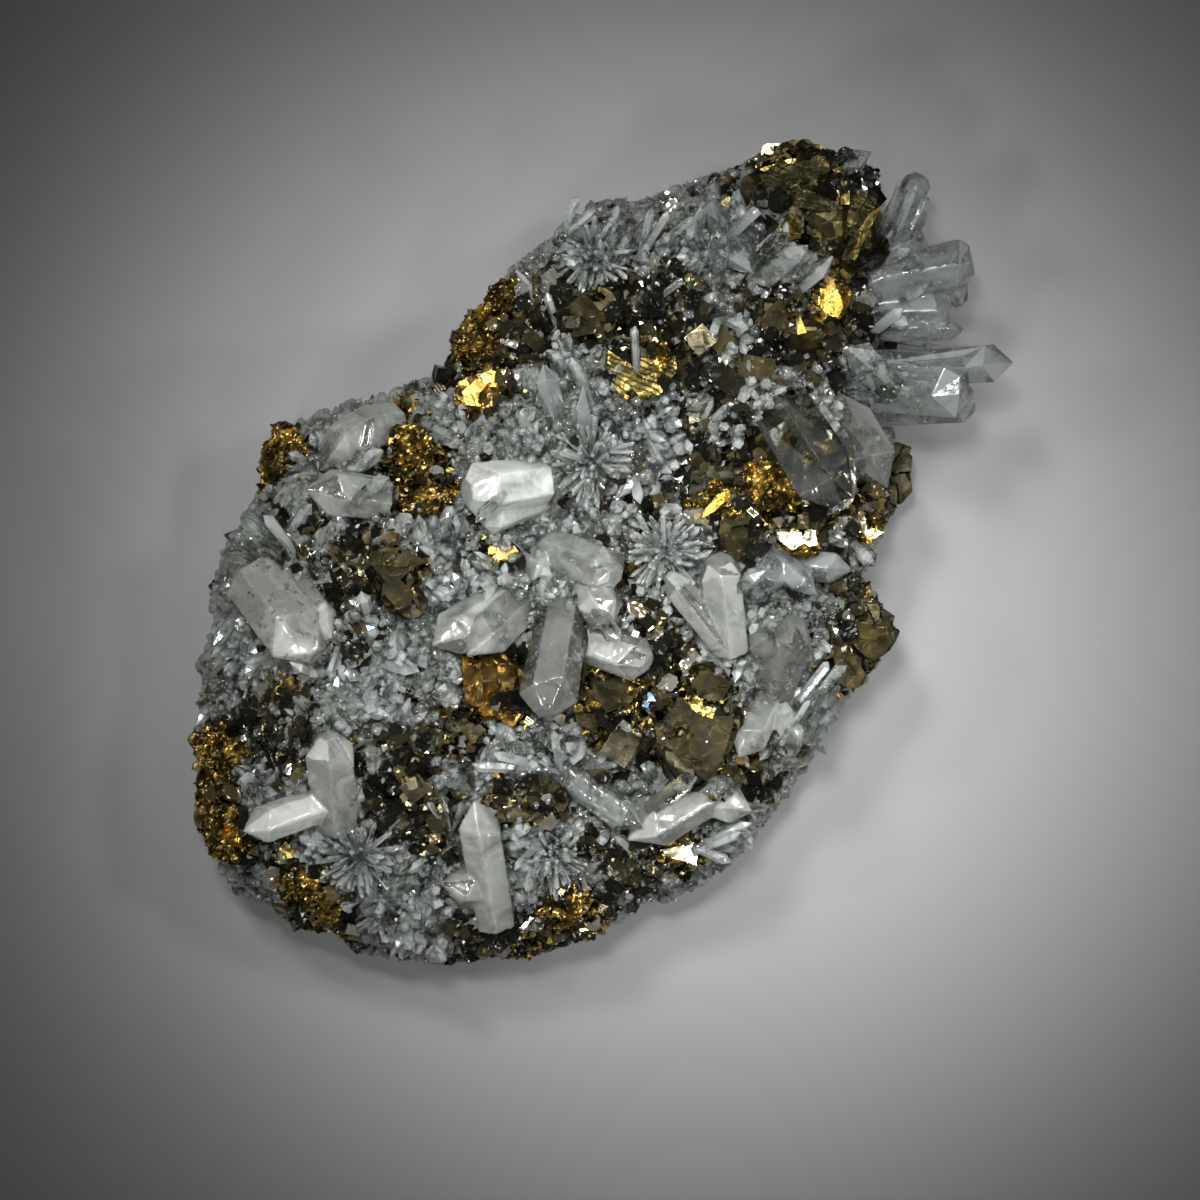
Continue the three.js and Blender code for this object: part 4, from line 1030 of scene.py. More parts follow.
def flatFaced(name, angle):
    # the node's solid with its triangles made whole flat faces
    points, tris = nodeForms[name]
    shape = bmesh.new()
    corners = [shape.verts.new(point) for point in points]
    for tri in tris:
        shape.faces.new([corners[k] for k in tri])
    bmesh.ops.dissolve_limit(shape, angle_limit=angle, verts=shape.verts, edges=shape.edges)
    return shape


def crispForm(name):
    # the solid's flat faces slightly bent and its outer edges worn to narrow facets, with a number that sets
    # each face apart and a mark on the worn edges
    shape = flatFaced(name, crystalSkin["flatAngle"])
    chance = np.random.default_rng(nodeOrder.index(name))
    corners = np.array([vert.co[:] for vert in shape.verts])
    bend = [waves(corners, crystalSkin["bendSize"] * mm, 300 + axis) for axis in range(3)]
    corners += crystalSkin["bend"] * mm * np.stack(bend, axis=1)
    for vert, corner in zip(shape.verts, corners):
        vert.co = corner
    facet = shape.faces.layers.float.new("facet")
    for face in shape.faces:
        face[facet] = chance.uniform(0, 1)
    worn = [edge for edge in shape.edges if edge.is_manifold and edge.is_convex
            and edge.calc_face_angle() > crystalSkin["sharpest"]
            and min(face.calc_area() for face in edge.link_faces) > crystalSkin["smallestFace"] * mm ** 2]
    bmesh.ops.bevel(shape, geom=worn, offset=crystalSkin["edgeWidth"] * mm, segments=1, profile=0.5,
                    affect="EDGES", material=1, clamp_overlap=False)
    points, tris = shapeArrays(shape)
    facets = np.array([face[facet] for face in shape.faces])
    rims = np.array([float(face.material_index == 1) for face in shape.faces])
    shape.free()
    return points, tris, {"facet": facets, "rim": rims}


def roundedForm(name, strength):
    # the solid remeshed fine, with soft waves and slightly tilted growth patches over its faces
    points, normals, tris = evenForm(name, crystalSkin["voxel"])
    seed = nodeOrder.index(name)
    relief = crystalSkin["swell"] * mm * waves(points, crystalSkin["swellSize"] * mm, seed)
    patches = chips(points, crystalSkin["chipSize"] * mm, crystalSkin["chipTilt"], seed)
    relief += crystalSkin["chip"] * patches
    relief *= strength
    tree = treeOf(*nodeForms[name])
    facing = np.array([tree.find_nearest(centre)[1] for centre in points[tris].mean(axis=1)])
    facets = cellRandom(np.round(facing * crystalSkin["facingSteps"]).astype(np.int64), seed)
    return points, points + normals * relief[:, None], tris, {"facet": facets}


def dressCrystal(title, look):
    # a crystal's surface, rounded or crisp, in place of its solid
    name = "quartz_" + title
    strength = crystalSkin["rounded"].get(title)
    if strength:
        plain, points, tris, faceMarks = roundedForm(name, strength)
    else:
        points, tris, faceMarks = crispForm(name)
        plain = points
    # a mark at the rock, down to 0 at the height where a large crystal stands clear of it; there the finish
    # clears the glass and paints shade
    climb = np.clip(1 - aboveRock(plain) / (crystalSkin["rootHeight"] * mm), 0, 1)
    makePiece(name + "_crystals", points, tris, look, "quartz", [name], bool(strength),
              {"root": crystalSkin["rootMark"] * climb}, faceMarks)


cubeSkin = {"flatAngle": 0.03, "edgeWidth": 0.06}


def dressCube(name):
    # the cube's solid with its flat faces made whole and a narrow rounded edge between them
    mesh = bpy.data.meshes.new(name + "_crystals")
    shape = flatFaced(name, cubeSkin["flatAngle"])
    shape.to_mesh(mesh)
    shape.free()
    mesh.materials.append(finishes["pyrite"])
    wearEdges(addPiece(name + "_crystals", mesh, [name]), cubeSkin["edgeWidth"], 2)


def growVeils():
    # thin flakes at small depths under the faces of the larger crystals, lying nearly along them
    chance = np.random.default_rng(19)
    parts = []
    for title, look in quartzLooks.items():
        if look == "smoky":
            continue
        form = nodeForms["quartz_" + title]
        at, up = scatterPerMm2(*form, crystalSkin["veilsPerMm2"], chance)
        tree = treeOf(*form)
        depth = chance.uniform(*crystalSkin["veilDepth"], len(at)) * mm
        start = crystalSkin["veilStart"] * mm
        back = [tree.ray_cast(point - start * out, -out)[3] for point, out in zip(at, up)]
        room = np.array([distance if distance else 0 for distance in back])
        keep = depth < crystalSkin["veilRoom"] * room
        facing = unit(up + crystalSkin["veilLean"] * chance.normal(size=up.shape))
        parts.append(((at - up * depth[:, None])[keep], facing[keep]))
    centres, facing = (np.vstack(arrays) for arrays in zip(*parts))
    across, over = sideFrames(facing, chance.uniform(0, np.pi, len(centres)))
    sizes = chance.uniform(*crystalSkin["veilSize"], len(centres)) * mm
    turns = np.stack([across, over, crystalSkin["veilFlat"] * facing], axis=2)
    wobble = crystalSkin["veilWobble"]
    points, tris, _ = scatterForm(octahedronForm, centres, sizes / 2, chance, turns, wobble)
    makePiece("quartz_inner_veils", points, tris, "veil", "quartz")


for title, look in quartzLooks.items():
    dressCrystal(title, look)
growVeils()
for title in ("south", "north", "west"):
    dressCube("pyrite_cube_" + title)
print("large crystals dressed")


needleBalls = {  # sizes in mm, the spread in radians
    "perBall": 110, "width": (0.28, 0.72), "reach": (0.4, 1.0), "spread": 1.35, "crowding": 0.6,
    "leastOut": 0.3, "leastUp": 0.35, "rootHeight": 0.8, "start": 0.6, "startScatter": 0.4, "tip": 0.6,
    "taper": 0.8, "tones": (0.4, 1), "root": 0.5}


def growNeedleBall(name):
    # needles from one root to the ends of the solid's own spikes, crowded upright and sparser low down
    low, high = (np.array(corner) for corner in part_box(name))
    radius = (high - low)[:2].mean() / 2
    root = np.array([(low[0] + high[0]) / 2, (low[1] + high[1]) / 2, low[2] + needleBalls["rootHeight"] * mm])
    chance = np.random.default_rng(len(name) * 7 + nodeOrder.index(name))
    count = needleBalls["perBall"]
    lean = needleBalls["spread"] * chance.uniform(0, 1, count) ** needleBalls["crowding"]
    axes = leaning(lean, chance.uniform(0, 2 * np.pi, count))
    outward = radius / np.maximum(np.sin(lean), needleBalls["leastOut"])
    upward = (high[2] - root[2]) / np.maximum(np.cos(lean), needleBalls["leastUp"])
    lengths = np.minimum(outward, upward) * chance.uniform(*needleBalls["reach"], count)
    widths = chance.uniform(*needleBalls["width"], count) * mm
    scatter = chance.normal(size=(count, 3)) * [1, 1, 0.2] * needleBalls["startScatter"] * mm
    start = root + axes * needleBalls["start"] * mm + scatter
    makePrisms(name + "_needles", start, axes, lengths, widths, chance, needleBalls, [name])


for title in ("north", "centre", "east", "west", "south"):
    growNeedleBall("quartz_spray_" + title)


# single smaller quartz prisms: root x and y and tip x and y in view pixels, width in view pixels, rise in mm
singlePrisms = [
    (836, 170, 862, 154, 24, 0), (886, 232, 902, 184, 9, 2), (896, 238, 914, 188, 9, 2),
    (906, 240, 926, 202, 9, 1), (850, 535, 872, 560, 14, 1), (670, 572, 707, 620, 5, 2),
    (745, 600, 765, 590, 22, 2), (740, 585, 758, 572, 14, 2), (625, 590, 633, 640, 8, 2),
    (600, 615, 615, 637, 14, 2), (505, 570, 487, 600, 12, 2), (425, 425, 462, 445, 16, 2),
    (468, 430, 490, 412, 14, 2), (515, 430, 533, 412, 12, 2), (435, 420, 458, 405, 14, 2),
    (355, 470, 380, 452, 14, 2), (305, 470, 348, 455, 14, 2), (360, 500, 386, 480, 14, 2),
    (285, 560, 232, 535, 18, 1), (285, 548, 248, 522, 12, 1), (280, 565, 228, 556, 12, 0),
    (285, 540, 308, 508, 12, 2), (370, 655, 415, 668, 16, 2), (452, 858, 470, 842, 14, 2),
    (429, 932, 429, 897, 18, 2), (380, 940, 390, 895, 16, 2), (400, 935, 397, 900, 10, 2),
    (475, 795, 445, 778, 12, 2), (800, 722, 840, 670, 12, 0), (805, 715, 835, 690, 8, 0),
    (800, 700, 825, 668, 10, 1), (775, 735, 798, 692, 9, 1), (785, 738, 805, 705, 7, 1),
    (785, 757, 797, 738, 9, 1), (705, 272, 722, 243, 9, 2), (693, 282, 704, 256, 8, 2),
    (733, 235, 753, 216, 10, 2), (700, 308, 742, 328, 12, 2), (725, 300, 712, 335, 8, 2),
    (655, 302, 678, 285, 7, 2), (760, 285, 800, 250, 22, 2), (800, 285, 828, 262, 18, 1),
    (755, 262, 780, 240, 16, 1), (636, 368, 634, 335, 8, 2), (695, 432, 710, 402, 9, 2),
    (700, 430, 722, 410, 6, 2), (545, 835, 515, 845, 8, 2), (545, 835, 518, 865, 8, 2),
    (545, 835, 528, 885, 8, 2), (545, 835, 545, 885, 8, 2), (545, 835, 567, 857, 8, 2),
    (452, 835, 432, 806, 6, 2), (452, 835, 445, 802, 6, 3), (452, 835, 462, 805, 6, 3),
    (452, 835, 470, 815, 6, 2), (640, 258, 690, 222, 7, 2), (640, 258, 680, 240, 7, 2),
    (640, 258, 665, 218, 7, 2), (640, 258, 650, 215, 7, 2), (608, 285, 625, 242, 7, 2),
    (608, 285, 612, 240, 7, 3), (608, 285, 600, 245, 6, 2), (640, 430, 668, 412, 7, 2),
    (640, 430, 660, 440, 7, 2), (640, 430, 655, 455, 7, 2), (640, 430, 640, 405, 7, 2),
    (640, 430, 622, 412, 7, 2), (352, 805, 362, 780, 6, 3), (560, 770, 520, 745, 9, 2),
    (560, 770, 500, 755, 9, 2), (560, 770, 530, 735, 9, 2), (560, 770, 555, 735, 8, 3),
    (540, 768, 480, 765, 10, 1), (700, 850, 735, 835, 9, 1), (700, 850, 725, 860, 8, 0),
    (700, 848, 745, 825, 8, 1), (640, 860, 620, 840, 10, 2), (655, 805, 690, 778, 18, 2),
    (330, 650, 305, 605, 14, 2), (300, 560, 270, 520, 10, 1), (560, 240, 590, 215, 8, 1),
    (560, 240, 575, 205, 8, 1), (545, 300, 520, 275, 8, 1), (860, 470, 875, 440, 14, 2),
    (905, 300, 925, 285, 12, 1), (905, 345, 930, 350, 14, 1), (815, 735, 830, 715, 8, 0),
    (560, 330, 548, 300, 8, 2), (590, 400, 575, 365, 10, 2), (610, 405, 618, 372, 9, 2),
    (500, 500, 480, 520, 12, 2), (340, 730, 300, 700, 10, 2), (350, 700, 385, 715, 12, 2),
    (395, 690, 410, 725, 12, 2), (240, 610, 215, 640, 12, 1), (235, 660, 208, 690, 10, 1),
    (250, 880, 225, 860, 10, 1), (890, 386, 853, 352, 30, 2), (885, 262, 905, 250, 12, 2),
    (880, 310, 902, 322, 12, 2), (875, 330, 898, 312, 10, 2)
]
singleShape = {  # sizes in mm; width is the thickness in mm of a prism one view pixel wide
    "sunk": 0.8, "lift": 0.3, "width": 0.13, "lowGround": 8, "lowTop": 12, "tip": 0.6, "tones": (0.2, 0.85),
    "root": 0.7, "edgeWidth": 0.04}


def growSinglePrisms():
    # each prism runs from its root on the ground to its tip; over low ground it starts at a middling height
    x0, y0, x1, y1, width, rise = np.array(singlePrisms, float).T
    rootX, rootY = place(x0, y0)
    tipX, tipY = place(x1, y1)
    top = heightAt(topSurvey, rootX, rootY)
    top = np.where(top < singleShape["lowGround"] * mm, singleShape["lowTop"] * mm, top)
    roots = np.stack([rootX, rootY, top - singleShape["lift"] * mm], axis=1)
    tips = np.stack([tipX, tipY, top + rise * mm], axis=1)
    axes = unit(tips - roots)
    sunk = singleShape["sunk"] * mm
    lengths = np.linalg.norm(tips - roots, axis=1) + sunk
    piece = makePrisms("quartz_single_prisms", roots - axes * sunk, axes, lengths + sunk,
                       width * singleShape["width"] * mm, np.random.default_rng(5), singleShape)
    wearEdges(piece, singleShape["edgeWidth"], 1)


growSinglePrisms()


# the crust of small crystals: sizes in mm
crust = {
    "seeds": 40000, "floorGap": 1.0, "outward": 0.7, "quartzOnBrass": 0.4, "goldOnBrass": 0.8,
    "wallSize": 0.36, "wallBelow": 13, "wallUpright": 0.3, "prismShare": 0.21, "buried": 1.0,
    "upward": 0.25, "lowest": -0.2}


def rockSeeds(chance):
    # seeds all over the rock but not under the crystals that stand on it
    seeds, normals = scatterOver(*nodeForms["rock"], crust["seeds"], chance)
    covered = heightAt(topSurvey, *seeds[:, :2].T) > seeds[:, 2] + crust["buried"] * mm
    buried = (normals[:, 2] > 0) & covered
    keep = (seeds[:, 2] > crust["floorGap"] * mm) & ~buried
    return seeds[keep], normals[keep]


def leadingSeeds(mineral, style, chance):
    # seeds on the rock where one mineral leads, upright and high enough
    seeds, normals = rockSeeds(chance)
    lead = (mineralShares(seeds)[mineral] > style["lead"]) & (normals[:, 2] > style["upright"])
    lead &= seeds[:, 2] > style["above"] * mm
    return seeds[lead], normals[lead]


collars = {
    "perMm2": 4.0, "height": 1.7, "onBrass": 1.2, "onQuartz": 0.55, "wave": 0.6, "waveSize": 4,
    "steepest": 0.85, "patchSize": 5, "patchFrom": 0.85, "patchShare": 0.8, "undercut": -0.3, "lowest": 2,
    "spots": [(852, 158, 28), (868, 185, 18), (770, 203, 16), (820, 248, 14), (822, 190, 12), (742, 185, 12)]}


def collarSeeds(chance):
    # seeds on the lower flanks of the larger crystals, where the crust climbs, and in patches on the brass
    parts = []
    for name, form in nodeForms.items():
        if name == "rock" or "spray" in name:
            continue
        at, up = scatterPerMm2(*form, collars["perMm2"], chance)
        isBrass = name.startswith("chalcopyrite")
        climb = collars["height"] * mm * (collars["onBrass"] if isBrass else collars["onQuartz"])
        climb = climb * (1 + collars["wave"] * waves(at, collars["waveSize"] * mm, 3))
        low = (aboveRock(at) < climb) & (up[:, 2] < collars["steepest"])
        patch = waves(at, collars["patchSize"] * mm, 8) > collars["patchFrom"]
        for spot in collars["spots"]:
            apart, limit = discAround(at[:, 0], at[:, 1], spot)
            patch |= apart < limit
        patch &= isBrass & (chance.uniform(0, 1, len(at)) < collars["patchShare"])
        keep = (low | patch) & (up[:, 2] > collars["undercut"]) & (at[:, 2] > collars["lowest"] * mm)
        parts.append((at[keep], up[keep], np.full(keep.sum(), isBrass)))
    return tuple(np.concatenate(arrays) for arrays in zip(*parts))


def growthAxes(up, spread, chance):
    # crystals stand off the ground they grow on, at odd leans, and none points down
    aside = spread * unit(chance.normal(size=up.shape))
    axes = unit(up * crust["outward"] + aside + [0, 0, crust["upward"]])
    low = axes[:, 2] < crust["lowest"]
    axes[low] = unit(axes[low] * [1, 1, -1])
    return axes


def pickSizes(style, count, chance):
    # sizes between two limits, most of them near the smaller one
    return between(style["size"], chance.uniform(0, 1, count) ** style["bias"]) * mm


def sunkCentres(at, up, sizes, style, chance):
    # grains moved out along the ground's normal by a share of their size
    return at + up * (sizes * chance.uniform(*style["sink"], len(at)))[:, None]


clusters = {
    "lead": 0.55, "upright": 0.6, "above": 14, "bare": 0.4, "count": 280, "each": (2, 9), "reach": 0.405,
    "sunk": 0.4, "lean": 0.7, "spread": 0.55, "length": (1.5, 4.2), "width": (0.7, 1.8), "slimmest": 0.7,
    "tip": 0.55, "taper": 0.9, "tones": (0.2, 1), "root": 0.8, "groupSize": (0.25, 1),
    "groupBias": 1.4, "lengthShare": (0.5, 1), "widthShare": (0.3, 1), "upShare": 0.3}


def growClusters():
    # groups of larger prisms that spread from one root, where quartz leads
    chance = np.random.default_rng(88)
    seeds, normals = leadingSeeds("quartz", clusters, chance)
    bare = heightAt(topSurvey, *seeds[:, :2].T) < seeds[:, 2] + clusters["bare"] * mm
    seeds, normals = seeds[bare], normals[bare]
    pick = chance.choice(len(seeds), clusters["count"], replace=False)
    each = chance.integers(*clusters["each"], len(pick))
    parent = np.repeat(pick, each)
    count = len(parent)
    size = np.repeat(chance.uniform(*clusters["groupSize"], len(pick)) ** clusters["groupBias"], each)
    main = growthAxes(normals[pick], clusters["lean"], chance)
    axes = unit(np.repeat(main, each, axis=0) + clusters["spread"] * unit(chance.normal(size=(count, 3))))
    aside = chance.normal(size=(count, 3)) * clusters["reach"] * mm
    roots = seeds[parent] + aside * [1, 1, clusters["upShare"]] - clusters["sunk"] * mm * axes
    lengths = between(clusters["length"], size * chance.uniform(*clusters["lengthShare"], count)) * mm
    widths = between(clusters["width"], size * chance.uniform(*clusters["widthShare"], count)) * mm
    widths = np.minimum(widths, clusters["slimmest"] * lengths)
    makePrisms("quartz_clusters", roots, axes, lengths, widths, chance, clusters)


lumps = {
    "lead": 0.45, "upright": 0.25, "above": 8, "count": 1100, "size": (0.4, 1.1), "bias": 1.8,
    "sink": (-0.4, 0.1), "tones": (0, 0.8), "wobble": 0.16}


def growLumps():
    # rounded milky grains, half sunk, that close the ground between the prisms where quartz leads
    chance = np.random.default_rng(55)
    seeds, normals = leadingSeeds("quartz", lumps, chance)
    pick = chance.choice(len(seeds), lumps["count"], replace=False)
    sizes = pickSizes(lumps, len(pick), chance)
    centres = sunkCentres(seeds[pick], normals[pick], sizes, lumps, chance)
    points, tris, tone = scatterKinds(
        [grainForm], np.zeros(len(pick)), centres, sizes, chance, lumps["tones"], lumps["wobble"])
    makePiece("quartz_lumps", points, tris, "sugar", "quartz", smooth=True, marks={"tone": tone})


darkBlocks = {
    "lead": 0.6, "upright": 0.5, "above": 10, "count": 110, "size": (0.5, 1.5), "bias": 1.6,
    "sink": (-0.1, 0.35), "tones": (0.1, 0.88), "wobble": 0.05}


def growDarkBlocks():
    # larger sulphide crystals, more than half sunk, where sulphide leads
    chance = np.random.default_rng(66)
    seeds, normals = leadingSeeds("sulphide", darkBlocks, chance)
    pick = chance.choice(len(seeds), darkBlocks["count"], replace=False)
    sizes = pickSizes(darkBlocks, len(pick), chance)
    centres = sunkCentres(seeds[pick], -normals[pick], sizes, darkBlocks, chance)
    forms = (cubeForm, octahedronForm, cutCubeForm)
    points, tris, tone = scatterKinds(
        forms, np.arange(len(pick)) % 3, centres, sizes, chance, darkBlocks["tones"], darkBlocks["wobble"])
    makePiece("sulphide_blocks", points, tris, "sulphide", "rock", marks={"tone": tone})


smallPrisms = {
    "length": (0.7, 2.6), "width": (0.45, 1.5), "lean": 0.8, "bias": 2.2, "patchSize": 4.5, "sunk": 0.3,
    "slimmest": 0.8, "tip": 0.6, "tones": (0.1, 0.6), "root": 0.3, "patches": (0.45, 0.5),
    "leastPatch": 0.1, "widthShare": (0.4, 1), "steepFrom": 1.2, "leastSteep": 0.3, "shortening": (1.15, 0.5)}


def growSmallPrisms(at, up, girth, chance):
    # single prisms, larger in patches and shorter where the ground is steep
    count = len(at)
    steep = np.clip(smallPrisms["steepFrom"] - up[:, 2], smallPrisms["leastSteep"], 1)
    axes = growthAxes(up, smallPrisms["lean"], chance)
    middle, swing = smallPrisms["patches"]
    big = middle + swing * waves(at, smallPrisms["patchSize"] * mm, 91)
    grade = chance.uniform(0, 1, count) ** smallPrisms["bias"] * np.clip(big, smallPrisms["leastPatch"], 1)
    full, loss = smallPrisms["shortening"]
    lengths = between(smallPrisms["length"], grade) * mm * (full - loss * steep)
    widths = between(smallPrisms["width"], grade * chance.uniform(*smallPrisms["widthShare"], count)) * mm
    widths = np.minimum(widths, lengths * smallPrisms["slimmest"])
    sunk = smallPrisms["sunk"] * mm
    lengths, widths = lengths * girth + sunk, widths * girth
    makePrisms("quartz_crust", at - axes * sunk, axes, lengths, widths, chance, smallPrisms)


sugar = {"size": (0.18, 0.7), "bias": 2.5, "fine": 0.3, "lift": 0.15, "tones": (0, 0.5), "wobble": 0.2}


def growSugar(at, up, girth, chance):
    # the finest quartz: octahedrons, and rounder grains where they are larger
    sizes = pickSizes(sugar, len(at), chance) * girth
    centres = at + up * (sugar["lift"] * sizes)[:, None]
    points, tris, tone = scatterKinds(
        (octahedronForm, grainForm), (sizes >= sugar["fine"] * mm).astype(int), centres, sizes, chance,
        sugar["tones"], sugar["wobble"])
    makePiece("quartz_sugar", points, tris, "sugar", "quartz", smooth=True, marks={"tone": tone})


sulphide = {
    "size": (0.2, 0.85), "bias": 2.5, "sink": (-0.2, 0.5), "cutFrom": 0.3, "tones": (0, 1),
    "pyriteShare": 0.05, "pyriteSize": 0.8, "pyriteWobble": 0.02}


def growSulphide(at, up, girth, chance):
    # cubes, octahedrons and, where they are larger, cut tetrahedrons and cut cubes, with a few pyrite cubes
    sizes = pickSizes(sulphide, len(at), chance) * girth
    centres = sunkCentres(at, up, sizes, sulphide, chance)
    large = sizes > sulphide["cutFrom"] * mm
    kinds = np.where(large, chance.integers(0, 4, len(at)), chance.integers(0, 2, len(at)))
    pyrite = chance.uniform(0, 1, len(at)) < sulphide["pyriteShare"]
    forms = (cubeForm, octahedronForm, wedgeForm, cutCubeForm)
    points, tris, tone = scatterKinds(
        forms, np.where(pyrite, -1, kinds), centres, sizes, chance, sulphide["tones"])
    makePiece("sulphide_crust", points, tris, "sulphide", "rock", marks={"tone": tone})
    sizes = sulphide["pyriteSize"] * sizes[pyrite]
    points, tris, _ = scatterForm(cubeForm, centres[pyrite], sizes, chance, wobble=sulphide["pyriteWobble"])
    makePiece("pyrite_crust", points, tris, "pyrite", "pyrite")


goldGrains = {
    "size": (0.14, 0.5), "bias": 1.8, "sink": (-0.1, 0.5), "tones": (0, 1), "toneBias": 2.2, "wobble": 0.2}


def growGold(at, up, girth, chance):
    # small chalcopyrite crystals
    sizes = pickSizes(goldGrains, len(at), chance) * girth
    centres = sunkCentres(at, up, sizes, goldGrains, chance)
    points, tris, tone = scatterKinds(
        [wedgeForm], np.zeros(len(at)), centres, sizes, chance, goldGrains["tones"], goldGrains["wobble"],
        goldGrains["toneBias"])
    makePiece("chalcopyrite_crust", points, tris, "druse", "chalcopyrite", marks={"tone": tone})


def growCrust():
    # every seed becomes quartz, sulphide or gold by the shares of its place, and is smaller on the walls
    chance = np.random.default_rng(77)
    onRock = rockSeeds(chance)
    onCollars = collarSeeds(chance)
    print("crust seeds", len(onRock[0]), "and collars", len(onCollars[0]))
    seeds, normals = (np.vstack(arrays) for arrays in zip(onRock, onCollars))
    onBrass = np.concatenate([np.zeros(len(onRock[0]), bool), onCollars[2]])
    shares = mineralShares(seeds)
    quartzShare = np.where(onBrass, crust["quartzOnBrass"], 1.0) * shares["quartz"]
    goldShare = np.where(onBrass, crust["goldOnBrass"], 1.0) * shares["gold"]
    roll = chance.uniform(0, 1, len(seeds))
    isQuartz = roll < quartzShare
    isGold = ~isQuartz & (roll < quartzShare + goldShare)
    isPrism = isQuartz & (chance.uniform(0, 1, len(seeds)) < crust["prismShare"])
    wall = (seeds[:, 2] < crust["wallBelow"] * mm) | (normals[:, 2] < crust["wallUpright"])
    girth = np.where(wall, crust["wallSize"], 1.0)
    for grow, chosen in ((growSmallPrisms, isPrism), (growSugar, isQuartz & ~isPrism),
                         (growSulphide, ~isQuartz & ~isGold), (growGold, isGold)):
        grow(seeds[chosen], normals[chosen], girth[chosen], chance)


growClusters()
growLumps()
growDarkBlocks()
growCrust()


# single bright faces: small crystals that catch the light, as (x, y, width) in view pixels
brightFaces = {
    "silver": [(668, 189, 5), (678, 236, 5), (902, 504, 6), (237, 622, 5), (225, 585, 4), (672, 434, 5),
               (641, 490, 5), (636, 634, 6), (650, 628, 6), (428, 752, 4), (816, 648, 3), (663, 738, 2),
               (706, 741, 2), (802, 193, 5), (826, 190, 3), (845, 157, 4), (868, 165, 4), (880, 178, 4)],
    "pale": [(697, 341, 16), (773, 800, 12), (418, 760, 11), (416, 782, 12), (405, 797, 8), (561, 716, 14),
             (626, 884, 7), (640, 352, 7), (626, 712, 6), (585, 736, 5), (455, 708, 6)],
    "blue": [(372, 627, 7), (717, 535, 8), (735, 537, 10), (652, 697, 8), (646, 704, 6)]}
brightLean = {  # degrees: halfway between the camera and the key, or the left lamp for the paler brass
    "silver": (14, 120), "blue": (14, 120), "pale": (26, 190)}
brightShape = {"scatter": 4, "lift": 0.2, "wobble": 0.08}


def growBrightFaces(look, spots):
    # low cubes half sunk in the crust, each with its top face leaning towards the light
    px, py, width = np.array(spots, float).T
    x, y = place(px, py)
    half = width / 2 / viewGrid["pixelsPerMetre"]
    ground = np.maximum(standHeights(x, y), heightAt(topSurvey, x, y))
    centres = np.stack([x, y, ground + brightShape["lift"] * mm], axis=1)
    chance = np.random.default_rng(len(spots))
    lean, towards = brightLean[look]
    lean = np.radians(lean + brightShape["scatter"] * chance.uniform(-1, 1, len(x)))
    towards = np.radians(towards + 2 * brightShape["scatter"] * chance.uniform(-1, 1, len(x)))
    up = leaning(lean, towards)
    turns = np.stack([*sideFrames(up, chance.uniform(0, np.pi, len(x))), up], axis=2)
    points, tris, _ = scatterForm(cubeForm, centres, half, chance, turns, brightShape["wobble"])
    makePiece("bright_faces_" + look, points, tris, look, "pyrite")


for look, spots in brightFaces.items():
    growBrightFaces(look, spots)


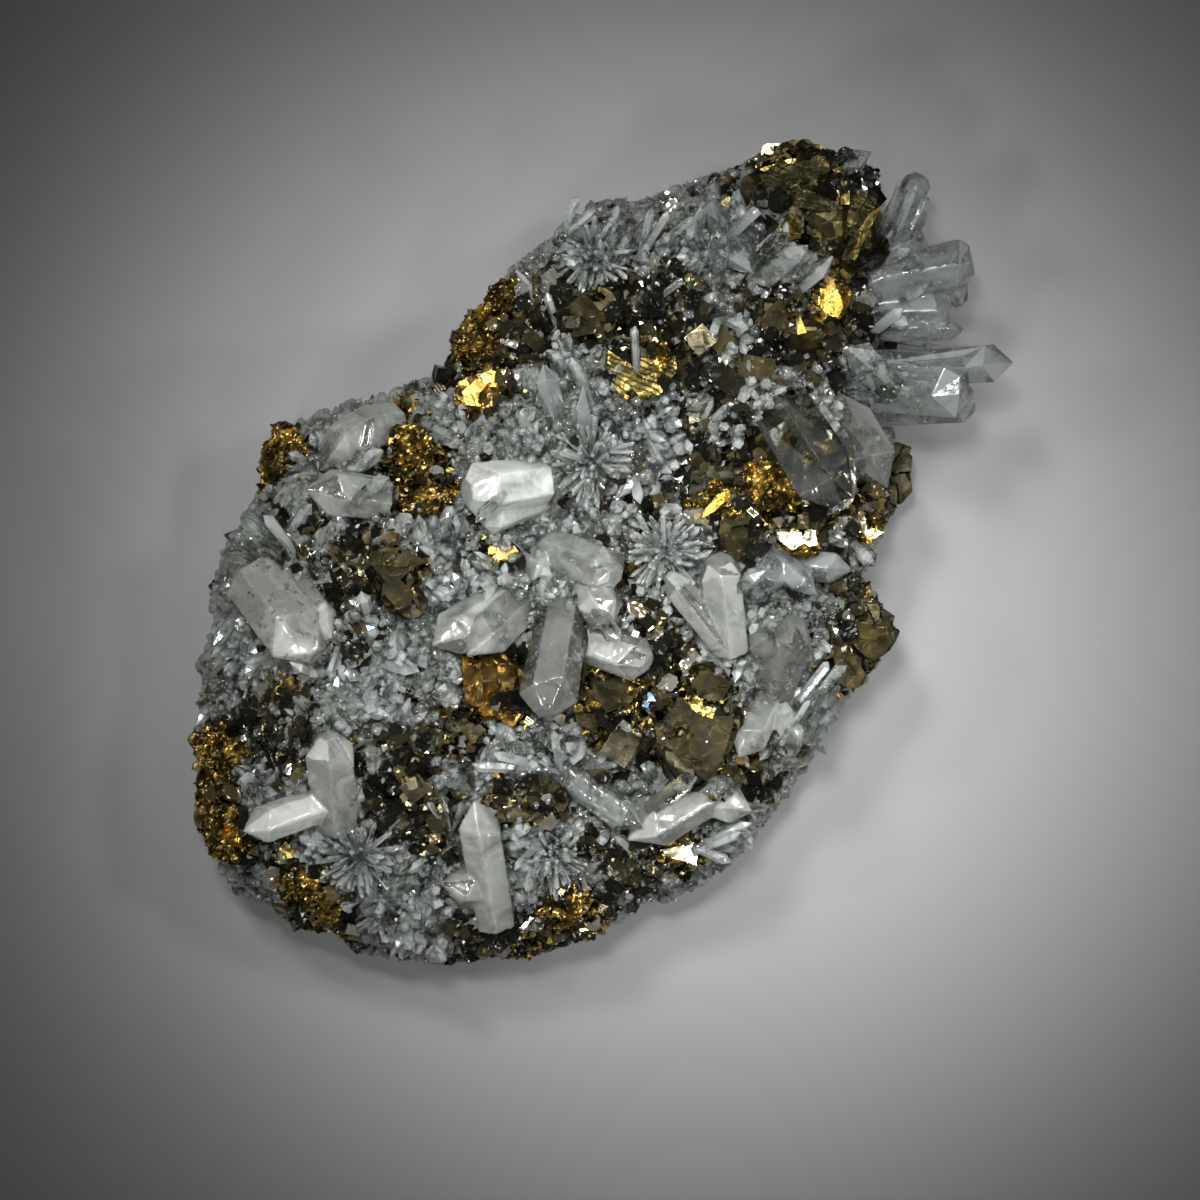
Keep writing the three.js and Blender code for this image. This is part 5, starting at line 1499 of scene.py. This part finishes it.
# floor, lamps and camera, in metres
studio = {
    "distance": 0.7, "frameWidth": 0.12, "aim": place(600, 600), "focusHeight": 0.02, "sensor": 36,
    "floorSize": 3.0, "floorColour": (0.4, 0.4, 0.4), "floorRough": 0.6,
    "lampAim": (0.008, -0.006, 0), "lampAngle": 15, "airColour": (0.62, 0.62, 0.6), "airStrength": 0.04}
lamps = {
    # compass direction from +X and lean from straight above in degrees, distance and radius, power in watts
    "key": (120, 28, 0.45, 0.056, 5.3), "sideKey": (20, 32, 0.45, 0.056, 2.9),
    "nearKey": (235, 34, 0.45, 0.056, 2.7), "topKey": (110, 10, 0.45, 0.035, 4.6),
    "sparkle0": (60, 22, 0.45, 0.022, 1.1), "sparkle1": (170, 38, 0.45, 0.022, 1.1),
    "sparkle2": (300, 26, 0.45, 0.022, 1.1), "sparkle3": (340, 44, 0.45, 0.022, 1.1),
    "leftBox": (190, 52, 0.8, 0.16, 2.4), "rightBox": (10, 52, 0.8, 0.16, 2.0),
    "farBox": (80, 60, 0.8, 0.16, 2.0), "nearBox": (285, 58, 0.8, 0.16, 1.7)}


def layFloor():
    # a pale square sheet under the specimen
    m = Finish("paleFloor")
    light = studio["floorColour"]
    shade = m.ramp(m.noise(3, 2), [(0.3, tuple(0.97 * c for c in light)), (0.7, light)])
    half = studio["floorSize"] / 2
    corners = [(-half, -half, 0), (half, -half, 0), (half, half, 0), (-half, half, 0)]
    mesh = bpy.data.meshes.new("floor")
    mesh.from_pydata(corners, [], [(0, 1, 2, 3)])
    mesh.materials.append(m.finish(m.shader({"Base Color": shade, "Roughness": studio["floorRough"]})))
    addObject("floor", mesh)


def hangLamp(name, azimuth, lean, distance, radius, power):
    # a round lamp that faces the specimen, whose pool fades from its middle outwards
    data = bpy.data.lights.new(name, "SPOT")
    data.spot_size = np.radians(studio["lampAngle"])
    data.spot_blend = 1
    data.shadow_soft_size = radius
    data.energy = power
    turn, tilt = np.radians(azimuth), np.radians(lean)
    lamp = addObject(name, data)
    lamp.location = studio["lampAim"] + distance * leaning(tilt, turn)
    lamp.rotation_euler = (0, tilt, turn)


def setCamera():
    # straight above the aim, with the lens that fits the frame's width at that distance
    data = bpy.data.cameras.new("camera")
    data.sensor_width = studio["sensor"]
    data.lens = studio["sensor"] * studio["distance"] / studio["frameWidth"]
    camera = addObject("camera", data)
    camera.location = (*studio["aim"], studio["distance"] + studio["focusHeight"])
    bpy.context.scene.camera = camera


def setWorld():
    # a little even light from all around
    world = bpy.data.worlds.new("studioAir")
    world.use_nodes = True
    air = world.node_tree.nodes["Background"].inputs
    air["Color"].default_value = (*studio["airColour"], 1)
    air["Strength"].default_value = studio["airStrength"]
    bpy.context.scene.world = world


layFloor()
for name, lamp in lamps.items():
    hangLamp(name, *lamp)
setWorld()
setCamera()
bpy.context.scene.view_settings.view_transform = "Standard"
print("studio set")
